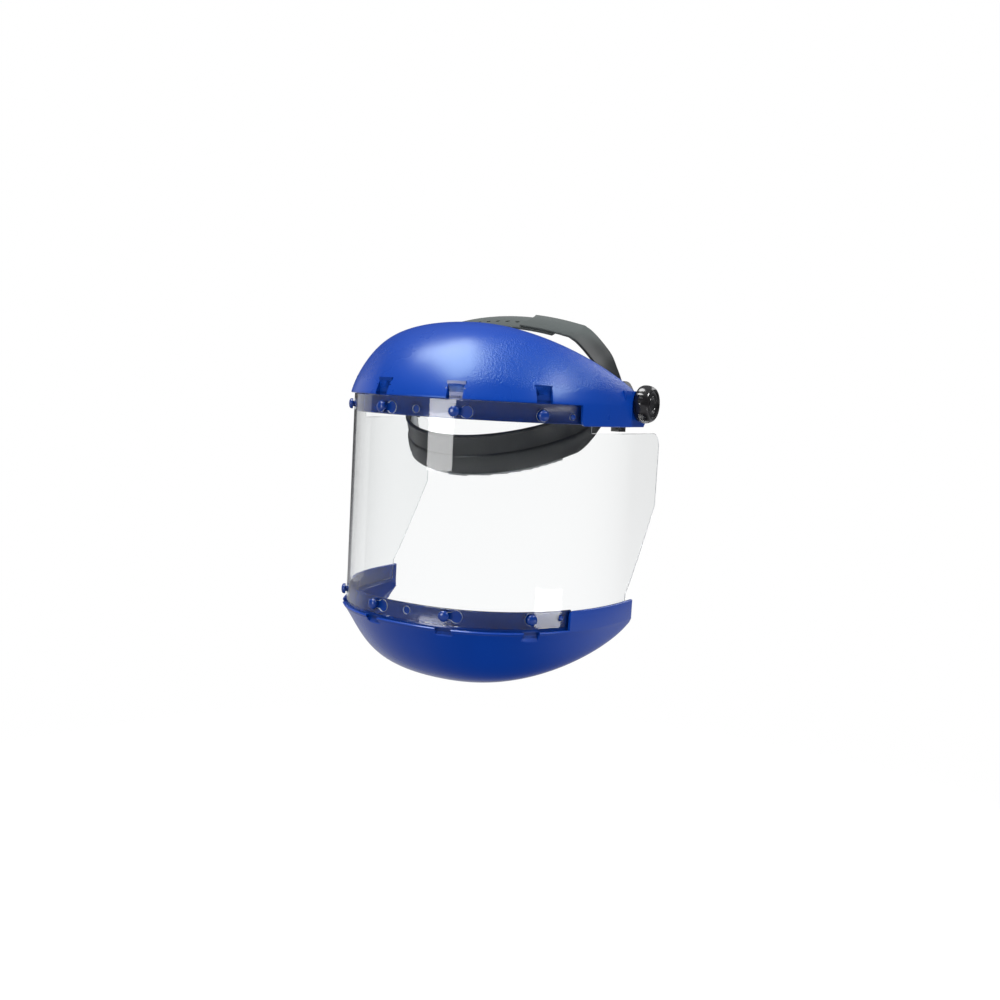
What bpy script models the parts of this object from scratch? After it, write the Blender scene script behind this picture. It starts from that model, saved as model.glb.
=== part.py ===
"""Dual-crown face shield: a brow crown and a chin guard hold a clear wrap-round window,
and the crown tilts on a ratchet headgear.

Frame: +X is the wearer's left, -Y is the front, +Z is up. The tilt axis is the X axis.
Numbers are millimetres; new_object turns a finished mesh into Blender's metres.
"""
import math

import bmesh
import bpy
import numpy as np
from mathutils import Matrix, Vector

MM = 0.001

# Window: its outer face follows a superellipse seen from above, then runs straight back.
PLAN_HALF_WIDTH = 112.7
PLAN_HALF_DEPTH = 140.1
PLAN_POWER = 2.32
PLAN_Y = 3.4
WINDOW_WALL = 1.2
WINDOW_TOP = -3.4
WINDOW_BOTTOM = -166.0
WINDOW_FLAT_HALF = 249.0
EAR_TOP = -23.0
EAR_STEP = 139.5
EAR_CORNER = 12.0
EAR_SIDE_BOTTOM = -81.0
TAIL_HALF = 201.0
TAIL_TOP = -149.0

# Snap posts along the window's edges, as arc lengths from the front centre.
POST_ARCS = (-95.5, -31.5, 31.5, 95.5)
PIN_ARCS = (-120.5, 120.5)
KEYHOLE_ARCS = (-95.5, -31.5, 31.5)
POST_STEM_R = 2.2
POST_HEAD_R = 4.0
POST_HEIGHT = 4.2
KEYHOLE_SLOT_R = 2.8
KEYHOLE_BIG_R = 4.6
KEYHOLE_STEP = 8.7

# Crown and chin guard, shells outside the window's plan curve.
SHELL_PROUD = 3.0
SHELL_WALL = 2.4
EDGE_WALL_LEAST = 1.2
SHELL_STEP = 9.2
RIM_OUTER = -1.6
RIM_WALL = 2.4
RECESS_HALF = 127.2
RIM_HALF = 131.0
CROWN_HALF = 185.5
CROWN_SHELF = -3.0
CROWN_RIM_BOTTOM = -17.0
CROWN_PANEL_BOTTOM = -18.0
CROWN_FOOT = -2.2
CROWN_POST_Z = -11.7
CROWN_EDGE_LOW = 4.0
CROWN_EDGE_HIGH = 55.3
CROWN_EDGE_Y = -75.0
CROWN_EDGE_POWERS = (1.27, 3.0, 0.72)
CROWN_HANDLES = (0.31, 0.08, 0.56)
CROWN_SPREAD = 1.7
CHIN_HALF = 208.7
CHIN_RIM_TOP = -153.7
CHIN_SHELF = -168.0
CHIN_POST_Z = -158.8
CHIN_FOOT = -169.0
CHIN_EDGE_HIGH = -173.3
CHIN_EDGE_LOW = -220.5
CHIN_EDGE_Y = -84.0
CHIN_EDGE_POWERS = (1.18, 3.0, 0.65)
CHIN_HANDLES = (0.27, 0.21, 0.54)
CHIN_SPREAD = 1.4
SHELF_WALL = 2.2
CROWN_END_TURN = math.radians(81.0)
CHIN_END_TURN = math.radians(89.5)
NOTCH_WIDTH = 12.5
NOTCH_HEIGHT = 12.5
NOTCH_FLOOR = -1.15
CROWN_PAD_HEIGHT = 8.5
CHIN_PAD_HEIGHT = 4.8

# Pivot stack: places along X at each side.
BOLT_HEAD_IN = 84.0
REAR_STRAP_IN = 86.8
BAND_END_IN = 88.7
STRAP_FOOT_IN = 91.2
BLOCK_IN = 93.5
BLOCK_OUT = 107.6
FRICTION_IN = 107.9
FRICTION_OUT = 110.4
BOSS_IN = 110.8
BOSS_OUT = 114.4
BOSS_ROOT_Y = -26.0
BOSS_FACE_Y = -13.9
KNOB_IN = 114.8
KNOB_OUT = 126.2
KNOB_R = 14.3
NUT_R = 5.5
BOLT_R = 3.1
BOLT_HOLE_R = 3.6
BOLT_END = 123.0

# Headgear: the headband and the top strap lean forward, the rear straps run level.
HEAD_TILT = math.radians(20.0)
BAND_HALF_WIDTH = 82.0
BAND_HALF_LENGTH = 97.0
BAND_LOW = -29.0
BAND_HIGH = 2.5
TAB_LOW = -11.0
TAB_HIGH = 8.0
BAND_WALL = 2.2
RIDGE_PROUD = 1.1
STRAP_HALF = 14.0
STRAP_WALL = 2.0
STRAP_Y = 3.5
STRAP_APEX = 65.5
STRAP_FOLD = (66.0, 56.0)
PEG_X = 30.0
REAR_HALF_LENGTH = 97.0
REAR_STRAP_HALF = 8.0
REAR_STRAP_WALL = 1.5
REAR_STRAP_Z = -7.0
RATCHET_R = 18.0


# ---------------------------------------------------------------- shared tools

def clear_scene():
    for obj in list(bpy.data.objects):
        bpy.data.objects.remove(obj, do_unlink=True)


def material(name, colour, roughness, metallic=0.0, alpha=1.0):
    mat = bpy.data.materials.new(name)
    mat.use_nodes = True
    shader = mat.node_tree.nodes["Principled BSDF"]
    shader.inputs["Base Color"].default_value = (*colour, 1.0)
    shader.inputs["Roughness"].default_value = roughness
    shader.inputs["Metallic"].default_value = metallic
    shader.inputs["Alpha"].default_value = alpha
    return mat


def new_object(name, bm, mat):
    """One object in metres from a mesh drawn in millimetres."""
    bmesh.ops.recalc_face_normals(bm, faces=bm.faces)
    mesh = bpy.data.meshes.new(name)
    bm.to_mesh(mesh)
    bm.free()
    mesh.transform(Matrix.Scale(MM, 4))
    if mat:
        mesh.materials.append(mat)
    mesh.shade_smooth()
    mesh.set_sharp_from_angle(angle=math.radians(32))
    obj = bpy.data.objects.new(name, mesh)
    bpy.context.collection.objects.link(obj)
    return obj


def loft(bm, rings, closed=False):
    """Skin a row of equal point loops; the end loops are capped unless the row is closed."""
    rows = [[bm.verts.new(point) for point in ring] for ring in rings]
    count = len(rows[0])
    pairs = list(zip(rows, rows[1:]))
    if closed:
        pairs.append((rows[-1], rows[0]))
    for near, far in pairs:
        for i in range(count):
            j = (i + 1) % count
            bm.faces.new((near[i], near[j], far[j], far[i]))
    if not closed:
        bm.faces.new(rows[0])
        bm.faces.new(rows[-1])


def turned(bm, profile, place, segments=20):
    """Solid of revolution about local Z through (radius, height) points, capped at both ends."""
    angles = np.linspace(0, 2 * math.pi, segments, endpoint=False)
    rings = [[place @ Vector((r * math.cos(a), r * math.sin(a), h)) for a in angles] for r, h in profile]
    loft(bm, rings)


def hollow_turned(bm, profile, place, segments=24):
    """Solid of revolution about local Z through a closed (radius, height) profile that stays off the axis."""
    angles = np.linspace(0, 2 * math.pi, segments, endpoint=False)
    rings = [[place @ Vector((r * math.cos(a), r * math.sin(a), h)) for r, h in profile] for a in angles]
    loft(bm, rings, closed=True)


def prism(bm, outline, low, high, place):
    """Extrude a flat outline from low to high along local Z."""
    loft(bm, [[place @ Vector((x, y, h)) for x, y in outline] for h in (low, high)])


def box(bm, low, high, place=Matrix()):
    outline = ((low[0], low[1]), (high[0], low[1]), (high[0], high[1]), (low[0], high[1]))
    prism(bm, outline, low[2], high[2], place)


def circle(radius, segments=16, x=0.0, y=0.0):
    angles = np.linspace(0, 2 * math.pi, segments, endpoint=False)
    return [(x + radius * math.cos(a), y + radius * math.sin(a)) for a in angles]


def helper(name, bm):
    """A shape that only cuts or adds to another object."""
    obj = new_object(name, bm, None)
    obj.hide_render = True
    obj.display_type = "WIRE"
    return obj


def combine(obj, bm, operation):
    """Boolean the drawn shapes with obj."""
    tool = helper(f"{obj.name}_{operation.lower()}_{len(obj.modifiers)}", bm)
    mod = obj.modifiers.new(operation.title(), "BOOLEAN")
    mod.operation = operation
    mod.solver = "EXACT"
    mod.use_self = operation == "DIFFERENCE"
    mod.object = tool


def side_place(side, x=0.0, y=0.0, z=0.0):
    """Local Z points outward along X at the given side."""
    turn = Matrix.Rotation(side * math.pi / 2, 4, "Y")
    return Matrix.Translation((side * x, y, z)) @ turn


def tilt():
    return Matrix.Rotation(HEAD_TILT, 4, "X")


# ---------------------------------------------------------------- plan curve

def plan_table():
    """Arc length, x and y of the right-hand half, running straight back past its widest place."""
    angle = np.linspace(0, math.pi / 2, 1500)
    x = PLAN_HALF_WIDTH * np.sin(angle) ** (2 / PLAN_POWER)
    y = -PLAN_HALF_DEPTH * np.cos(angle) ** (2 / PLAN_POWER)
    x = np.append(x, PLAN_HALF_WIDTH)
    y = np.append(y, 100.0)
    arc = np.concatenate(([0.0], np.cumsum(np.hypot(np.diff(x), np.diff(y)))))
    return arc, x, y + PLAN_Y


PLAN = plan_table()


def on_plan(arc, proud=0.0):
    """Point on the plan curve at a signed arc length, moved outward by proud, and its normal."""
    span = abs(arc)
    x, y = (float(np.interp(span, PLAN[0], PLAN[i])) for i in (1, 2))
    ahead, behind = span + 1.0, max(span - 1.0, 0.0)
    dx = float(np.interp(ahead, PLAN[0], PLAN[1]) - np.interp(behind, PLAN[0], PLAN[1]))
    dy = float(np.interp(ahead, PLAN[0], PLAN[2]) - np.interp(behind, PLAN[0], PLAN[2]))
    if span < 1.0:
        dy *= span
    length = math.hypot(dx, dy)
    normal = Vector((dy / length, -dx / length, 0.0))
    side = -1.0 if arc < 0 else 1.0
    point = Vector((x, y, 0.0)) + normal * proud
    return Vector((side * point.x, point.y, 0.0)), Vector((side * normal.x, normal.y, 0.0))


def plan_place(arc, z):
    """Local Z out of the window, local X toward the wearer's left, local Y up."""
    point, normal = on_plan(arc)
    up = Vector((0, 0, 1))
    along = up.cross(normal)
    place = Matrix((along, up, normal)).transposed().to_4x4()
    place.translation = point + up * z
    return place


def arcs(half, step=6.0, extra=()):
    """Evenly spaced arc lengths from -half to half, with any extra places put in."""
    count = 2 * round(half / step) + 1
    places = [p for p in np.linspace(-half, half, count) if all(abs(p - q) > 1.5 for q in extra)]
    return sorted(places + list(extra))


def band_along_plan(bm, half, profile, step=9.0):
    """Sweep a closed (proud, z) profile along the plan curve."""
    rings = []
    for arc in arcs(half, step):
        rings.append([on_plan(arc, proud)[0] + Vector((0, 0, z)) for proud, z in profile])
    loft(bm, rings)


# ---------------------------------------------------------------- window

def smooth(t):
    t = min(max(t, 0.0), 1.0)
    return t * t * (3 - 2 * t)


def window_heights(arc):
    """Lower and upper edge of the flat sheet at an arc length."""
    span = abs(arc)
    top = WINDOW_TOP if span <= EAR_STEP else EAR_TOP
    past = span - (WINDOW_FLAT_HALF - EAR_CORNER)
    if past > 0:
        top = EAR_TOP - EAR_CORNER + math.sqrt(max(EAR_CORNER ** 2 - past ** 2, 0.0))
    if span <= TAIL_HALF:
        return WINDOW_BOTTOM, top
    rise = (span - TAIL_HALF) / (WINDOW_FLAT_HALF - TAIL_HALF)
    return TAIL_TOP + (EAR_SIDE_BOTTOM - TAIL_TOP) * rise ** 1.12, top


def keyhole():
    """Small slot end at the origin, big circle one step along +X."""
    small = np.linspace(math.radians(90), math.radians(270), 6)
    spread = math.asin(KEYHOLE_SLOT_R / KEYHOLE_BIG_R)
    big = np.linspace(-math.pi + spread, math.pi - spread, 12)
    outline = [(KEYHOLE_SLOT_R * math.cos(a), KEYHOLE_SLOT_R * math.sin(a)) for a in small]
    outline += [(KEYHOLE_STEP + KEYHOLE_BIG_R * math.cos(a), KEYHOLE_BIG_R * math.sin(a)) for a in big]
    return outline


def make_window(mat):
    corner = [side * (WINDOW_FLAT_HALF - EAR_CORNER * c) for side in (-1, 1) for c in (0.03, 0.13, 0.3, 0.6)]
    steps = [side * (place + gap) for side in (-1, 1) for place in (EAR_STEP, TAIL_HALF) for gap in (0.0, 0.4)]
    rings = []
    for arc in sorted(set([a for a in arcs(WINDOW_FLAT_HALF, 8.5) if min(abs(a - s) for s in steps) > 1.5]
                          + corner + steps)):
        low, high = window_heights(arc)
        outer, inner = (on_plan(arc, proud)[0] for proud in (0.0, -WINDOW_WALL))
        rings.append([p + Vector((0, 0, z)) for p, z in ((outer, low), (outer, high), (inner, high), (inner, low))])
    bm = bmesh.new()
    loft(bm, rings)
    obj = new_object("window", bm, mat)
    holes = bmesh.new()
    for z in (CROWN_POST_Z, CHIN_POST_Z):
        for arc in POST_ARCS:
            shape = keyhole() if arc in KEYHOLE_ARCS else circle(KEYHOLE_BIG_R)
            prism(holes, shape, -5.0, 4.0, plan_place(arc, z))
        prism(holes, circle(3.0, 12), -4.0, 4.0, plan_place(0.0, z))
        for arc in PIN_ARCS:
            prism(holes, circle(2.6, 10), -4.0, 4.0, plan_place(arc, z))
    combine(obj, holes, "DIFFERENCE")
    return obj


# ---------------------------------------------------------------- crown and chin guard

def edge_arch(turn, ends, crest, back, end_y, powers):
    """Rear edge of a shell: an arch in x by z that sweeps back to the pivots as it comes down."""
    x = PLAN_HALF_WIDTH * math.sin(turn)
    y = back * (1 - (abs(x) / PLAN_HALF_WIDTH) ** powers[1]) ** powers[2]
    z = ends + (crest - ends) * math.cos(turn) ** powers[0]
    return Vector((x, y + end_y, z))


def crown_edge(turn):
    return edge_arch(turn, CROWN_EDGE_LOW, CROWN_EDGE_HIGH, CROWN_EDGE_Y, PLAN_Y, CROWN_EDGE_POWERS)


def chin_edge(turn):
    end_y = on_plan(CHIN_HALF)[0].y
    return edge_arch(turn, CHIN_EDGE_HIGH, CHIN_EDGE_LOW, CHIN_EDGE_Y, end_y, CHIN_EDGE_POWERS)


def meridian(foot, top, handles, steps=9):
    """Cubic Bezier that leaves the foot steeply and reaches the rear edge level."""
    rise, lean, reach = handles
    line = []
    for t in np.linspace(0, 1, steps):
        first, second, last = 3 * t * (1 - t) ** 2, 3 * t * t * (1 - t), t ** 3
        point = foot.lerp(top, lean * first + (1 - reach) * second + last)
        point.z = foot.z + (top.z - foot.z) * (rise * first + second + last)
        line.append(point)
    return line


def shell_normals(grid):
    """Outward normals of a grid of points, by central differences."""
    points = np.array([[tuple(p) for p in line] for line in grid])
    along = np.gradient(points, axis=0)
    across = np.gradient(points, axis=1)
    normals = np.cross(along, across)
    normals /= np.linalg.norm(normals, axis=2, keepdims=True)
    return points, normals


def shell(name, half, foot_z, edge, end_turn, spread, handles, lip, mat):
    """Curved shell with an even wall; lip gives the height of its free lower edge at an arc."""
    gap = 0.2
    ends = [side * (RECESS_HALF + shift) for side in (-1, 1) for shift in (-gap, gap)]
    places = arcs(half, SHELL_STEP, ends)
    grid = []
    for arc in places:
        foot = on_plan(arc, SHELL_PROUD)[0] + Vector((0, 0, foot_z))
        turn = end_turn * (abs(arc) / half) ** spread * (1 if arc > 0 else -1)
        grid.append(meridian(foot, edge(turn), handles))
    outer, normals = shell_normals(grid)
    centre = np.array([0.0, 0.0, foot_z])
    if np.sum(normals[:, 0] * (outer[:, 0] - centre)) < 0:
        normals = -normals
    rise = np.abs(outer[:, -1, 2] - foot_z)
    edge_wall = np.clip(0.12 * rise, EDGE_WALL_LEAST, SHELL_WALL)[:, None]
    share = np.linspace(0, 1, outer.shape[1])[None, :]
    inner = outer - (SHELL_WALL + (edge_wall - SHELL_WALL) * share)[:, :, None] * normals
    depth = outer[:, :, 2] - foot_z
    way = np.sign(depth[:, -1:])
    inner[:, :, 2] = foot_z + way * np.maximum(way * (inner[:, :, 2] - foot_z), 0.5 * way * depth)
    rings = []
    for i, arc in enumerate(places):
        foot_out, foot_in = (on_plan(arc, proud)[0] for proud in (SHELL_PROUD, SHELL_PROUD - SHELL_WALL))
        low = Vector((0, 0, lip(arc)))
        line_in = [foot_in + Vector((0, 0, foot_z))] + [Vector(p) for p in inner[i][1:]]
        rings.append([foot_out + low] + [Vector(p) for p in outer[i]] + line_in[::-1] + [foot_in + low])
    bm = bmesh.new()
    loft(bm, rings)
    return new_object(name, bm, mat)


def posts(bm, z):
    """Mushroom posts that snap into the window's keyholes, and the small end pins."""
    for arc in POST_ARCS:
        head = ((POST_STEM_R, 1.0), (POST_HEAD_R, 1.3), (POST_HEAD_R, 2.7), (3.2, 3.8), (1.2, POST_HEIGHT))
        turned(bm, ((POST_STEM_R, RIM_OUTER - 1.0),) + head, plan_place(arc, z), 12)
    for arc in PIN_ARCS:
        turned(bm, ((1.9, RIM_OUTER - 1.0), (1.9, 0.7), (1.2, 1.3)), plan_place(arc, z), 8)


def rim(bm, low, high, shelf_low, shelf_high):
    """Recessed rim behind the window and the shelf that ties it to the shell."""
    inside = RIM_OUTER - RIM_WALL
    reach = SHELL_PROUD - 0.8
    if high is None:
        profile = ((inside, low), (RIM_OUTER, low), (RIM_OUTER, shelf_low), (reach, shelf_low),
                   (reach, shelf_high), (inside, shelf_high))
    else:
        profile = ((inside, shelf_low), (reach, shelf_low), (reach, shelf_high), (RIM_OUTER, shelf_high),
                   (RIM_OUTER, high), (inside, high))
    band_along_plan(bm, RIM_HALF, profile)


def notch_pads(bm, low, high):
    """Wall behind each notch, just proud of the rim."""
    half = NOTCH_WIDTH / 2 + 0.8
    for arc in POST_ARCS:
        box(bm, (-half, low, NOTCH_FLOOR - 3.6), (half, high, NOTCH_FLOOR + 0.3), plan_place(arc, 0.0))


def notches(bm, low, high):
    """Pockets cut through the shell above or below each post, almost down to the rim's face."""
    half = NOTCH_WIDTH / 2
    for arc in POST_ARCS:
        box(bm, (-half, low, NOTCH_FLOOR), (half, high, 8.0), plan_place(arc, 0.0))


def make_crown(mat):
    def lip(arc):
        return CROWN_SHELF if abs(arc) < RECESS_HALF else CROWN_PANEL_BOTTOM

    obj = shell("crown", CROWN_HALF, CROWN_FOOT, crown_edge, CROWN_END_TURN, CROWN_SPREAD, CROWN_HANDLES, lip, mat)
    adds = bmesh.new()
    rim(adds, CROWN_RIM_BOTTOM, None, CROWN_SHELF + 0.1, CROWN_SHELF + 0.1 + SHELF_WALL)
    combine(obj, adds, "UNION")
    studs = bmesh.new()
    posts(studs, CROWN_POST_Z)
    notch_pads(studs, CROWN_SHELF + 0.4, CROWN_SHELF + CROWN_PAD_HEIGHT)
    steps = ((BOSS_IN, BOSS_ROOT_Y), (BOSS_OUT - 0.6, BOSS_ROOT_Y),
             (BOSS_OUT - 0.5, BOSS_FACE_Y), (BOSS_OUT, BOSS_FACE_Y))
    for side in (-1, 1):
        rings = []
        for x, front in steps:
            outline = ((front, -17.9), (10, -17.9), (13.5, -14), (13.5, 5), (9, 9.6), (front, 9.6))
            rings.append([Vector((side * x, y, z)) for y, z in outline])
        loft(studs, rings)
    combine(obj, studs, "UNION")
    cuts = bmesh.new()
    notches(cuts, CROWN_SHELF - 1.0, CROWN_SHELF + NOTCH_HEIGHT)
    for side in (-1, 1):
        prism(cuts, circle(BOLT_HOLE_R), -10.0, 10.0, side_place(side, (BOSS_IN + BOSS_OUT) / 2))
    combine(obj, cuts, "DIFFERENCE")
    return obj


def make_chin_guard(mat):
    def lip(arc):
        return CHIN_SHELF if abs(arc) < RECESS_HALF else CHIN_RIM_TOP

    obj = shell("chin_guard", CHIN_HALF, CHIN_FOOT, chin_edge, CHIN_END_TURN, CHIN_SPREAD, CHIN_HANDLES, lip, mat)
    adds = bmesh.new()
    rim(adds, None, CHIN_RIM_TOP, CHIN_SHELF - 0.1 - SHELF_WALL, CHIN_SHELF - 0.1)
    combine(obj, adds, "UNION")
    studs = bmesh.new()
    posts(studs, CHIN_POST_Z)
    notch_pads(studs, CHIN_SHELF - CHIN_PAD_HEIGHT, CHIN_SHELF - 0.4)
    combine(obj, studs, "UNION")
    cuts = bmesh.new()
    notches(cuts, CHIN_SHELF - NOTCH_HEIGHT, CHIN_SHELF + 1.0)
    combine(obj, cuts, "DIFFERENCE")
    return obj


# ---------------------------------------------------------------- headband and straps

def band_point(y):
    """Outer line of the headband at one side: an ellipse that flares to the pivot plate."""
    x = BAND_HALF_WIDTH * math.sqrt(max(1 - (min(y, 0.0) / BAND_HALF_LENGTH) ** 2, 0.0))
    plate = BAND_END_IN + BAND_WALL
    return x + (plate - x) * smooth((y + 42.0) / 28.0)


def band_path():
    """Points from the right end round the front to the left end, in the leaning frame."""
    angles = np.linspace(0, math.radians(64), 15)
    half = [(BAND_HALF_WIDTH * math.sin(a), -BAND_HALF_LENGTH * math.cos(a)) for a in angles]
    half += [(band_point(y), y) for y in np.linspace(-38, -12, 8)] + [(band_point(y), y) for y in (0.0, 14.0)]
    return [(-x, y) for x, y in half[:0:-1]] + half


def path_frames(path):
    """Point and outward normal for each place on a path that runs from -X round to +X."""
    points = np.array(path)
    steps = np.gradient(points, axis=0)
    steps /= np.linalg.norm(steps, axis=1, keepdims=True)
    normals = np.stack((steps[:, 1], -steps[:, 0]), axis=1)
    return points, normals


def make_headband(mat):
    points, normals = path_frames(band_path())
    rings = []
    for (x, y), (nx, ny) in zip(points, normals):
        end = smooth((y + 40.0) / 26.0)
        low = BAND_LOW + (TAB_LOW - BAND_LOW) * end
        high = BAND_HIGH + (TAB_HIGH - BAND_HIGH) * end
        ridge = RIDGE_PROUD * (1 - end)
        split = (low + high) / 2
        section = ((-BAND_WALL, low), (ridge, low), (ridge, split - 0.8), (0.0, split + 0.8),
                   (0.0, high), (-BAND_WALL, high))
        rings.append([tilt() @ Vector((x + nx * p, y + ny * p, z)) for p, z in section])
    bm = bmesh.new()
    loft(bm, rings)
    obj = new_object("headband", bm, mat)
    cut_pivot_holes(obj)
    return obj


def cut_pivot_holes(obj, sides=(-1, 1)):
    cuts = bmesh.new()
    for side in sides:
        prism(cuts, circle(BOLT_HOLE_R), -12.0, 12.0, side_place(side, 90.0))
    combine(obj, cuts, "DIFFERENCE")


def make_sweatband(mat):
    """Soft brow pad behind the front of the headband, rounded at its edges."""
    angles = np.linspace(-math.radians(60), math.radians(60), 19)
    path = [(BAND_HALF_WIDTH * math.sin(a), -BAND_HALF_LENGTH * math.cos(a)) for a in angles]
    points, normals = path_frames(path)
    near, far = -BAND_WALL - 0.4, -BAND_WALL - 5.6
    low, high = BAND_LOW - 3.5, BAND_HIGH - 5.0
    section = ((near, low + 1), (near, high - 1), (near - 1.4, high), (far + 1.4, high - 0.5),
               (far, high - 3), (far, low + 3), (far + 1.4, low + 0.5), (near - 1.4, low))
    rings = []
    for (x, y), (nx, ny) in zip(points, normals):
        rings.append([tilt() @ Vector((x + nx * p, y + ny * p, z)) for p, z in section])
    bm = bmesh.new()
    loft(bm, rings)
    return new_object("sweatband", bm, mat)


def strap_line(end, drop):
    """Outer line (x, z) of a top strap half from its foot over the fold to x = end."""
    fold_x, fold_z = STRAP_FOLD
    foot = STRAP_FOOT_IN + STRAP_WALL
    leg = [(foot, -14.0), (foot, 9.5), (foot - 0.8, 15.0), (foot - 2.6, 22.0), (foot - 6.6, 33.0),
           (fold_x + 12.4, 44.0), (fold_x + 5.0, 52.0), (fold_x + 0.6, fold_z - 0.8), (fold_x - 1.4, fold_z + 0.5)]
    steps = np.linspace(fold_x - 6.0, end, 14)
    top = [(x, STRAP_APEX - (STRAP_APEX - fold_z) * (x / fold_x) ** 2) for x in steps]
    return [(x, z - drop * smooth((z - 40.0) / 12.0)) for x, z in leg + top]


def strap_half(name, side, end, drop, mat):
    """One half of the top strap: wide at the pivot, narrow over the head."""
    line = np.array(strap_line(end, drop))
    steps = np.gradient(line, axis=0)
    steps /= np.linalg.norm(steps, axis=1, keepdims=True)
    normals = np.stack((steps[:, 1], -steps[:, 0]), axis=1)
    rings = []
    for (x, z), (nx, nz) in zip(line, normals):
        half = STRAP_HALF + 3.5 * smooth((30.0 - z) / 30.0)
        shift = STRAP_Y * smooth(z / 50.0)
        if z < 0:
            half *= 1 - 0.25 * smooth(-z / 14.0)
        inner = (x - nx * STRAP_WALL, z - nz * STRAP_WALL)
        corners = ((x, shift - half, z), (x, shift + half, z),
                   (inner[0], shift + half, inner[1]), (inner[0], shift - half, inner[1]))
        rings.append([tilt() @ Vector((side * cx, cy, cz)) for cx, cy, cz in corners])
    bm = bmesh.new()
    loft(bm, rings)
    return new_object(name, bm, mat)


def make_top_straps(mat):
    left = strap_half("top_strap_left", 1, 22.0, 0.0, mat)
    right = strap_half("top_strap_right", -1, -50.0, STRAP_WALL + 0.4, mat)
    cut_pivot_holes(left, (1,))
    cuts = bmesh.new()
    prism(cuts, circle(BOLT_HOLE_R), -12.0, 12.0, side_place(-1, 90.0))
    for x in (-24.0, -15.0, -6.0, 3.0, 12.0):
        place = tilt() @ Matrix.Translation((x, STRAP_Y, STRAP_APEX))
        prism(cuts, circle(1.9, 12), -12.0, 8.0, place)
    place = tilt() @ Matrix.Translation((PEG_X, STRAP_Y, STRAP_APEX))
    prism(cuts, circle(2.6, 12), -12.0, 8.0, place)
    combine(right, cuts, "DIFFERENCE")
    pegs = bmesh.new()
    drop = (STRAP_APEX - STRAP_FOLD[1]) * (PEG_X / STRAP_FOLD[0]) ** 2
    place = tilt() @ Matrix.Translation((PEG_X, STRAP_Y, STRAP_APEX - drop))
    turned(pegs, ((1.5, -5.6), (2.0, -5.0), (1.6, -4.0), (1.6, -0.8)), place, 12)
    combine(left, pegs, "UNION")


def rear_x(y):
    """Outer line of the rear straps, straight past the pivot plate, then an ellipse."""
    plate = REAR_STRAP_IN + REAR_STRAP_WALL
    inner = BAND_HALF_WIDTH * math.sqrt(max(1 - (y / REAR_HALF_LENGTH) ** 2, 0.0))
    return inner + (plate - inner) * (1 - smooth((y - 10.0) / 40.0))


def make_rear_strap(name, side, proud, mat):
    """Flexible strap from the pivot plate to the ratchet, its tail slotted round the pinion."""
    half = [(rear_x(y), y) for y in (-12.0, 0.0, 10.0, 20.0, 32.0, 44.0)]
    angles = np.linspace(math.radians(58), math.radians(-24), 18)
    half += [(BAND_HALF_WIDTH * math.sin(a), REAR_HALF_LENGTH * math.cos(a)) for a in angles]
    points = np.array(half)
    steps = np.gradient(points, axis=0)
    steps /= np.linalg.norm(steps, axis=1, keepdims=True)
    normals = np.stack((steps[:, 1], -steps[:, 0]), axis=1)
    rings = []
    for (x, y), (nx, ny) in zip(points, normals):
        lift = proud * smooth((y - 30.0) / 40.0)
        outer = (x + nx * lift, y + ny * lift)
        inner = (outer[0] - nx * REAR_STRAP_WALL, outer[1] - ny * REAR_STRAP_WALL)
        centre = REAR_STRAP_Z * smooth((y - 5.0) / 40.0)
        low, high = centre - REAR_STRAP_HALF, centre + REAR_STRAP_HALF
        corners = ((*outer, low), (*outer, high), (*inner, high), (*inner, low))
        rings.append([Vector((side * cx, cy, cz)) for cx, cy, cz in corners])
    bm = bmesh.new()
    loft(bm, rings)
    obj = new_object(name, bm, mat)
    cuts = bmesh.new()
    prism(cuts, circle(BOLT_HOLE_R), -12.0, 12.0, side_place(side, 90.0))
    box(cuts, (-22.0, REAR_HALF_LENGTH - 20.0, REAR_STRAP_Z - 5.0), (22.0, REAR_HALF_LENGTH + 8.0, REAR_STRAP_Z + 5.0))
    combine(obj, cuts, "DIFFERENCE")
    return obj


# ---------------------------------------------------------------- pivots

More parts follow.
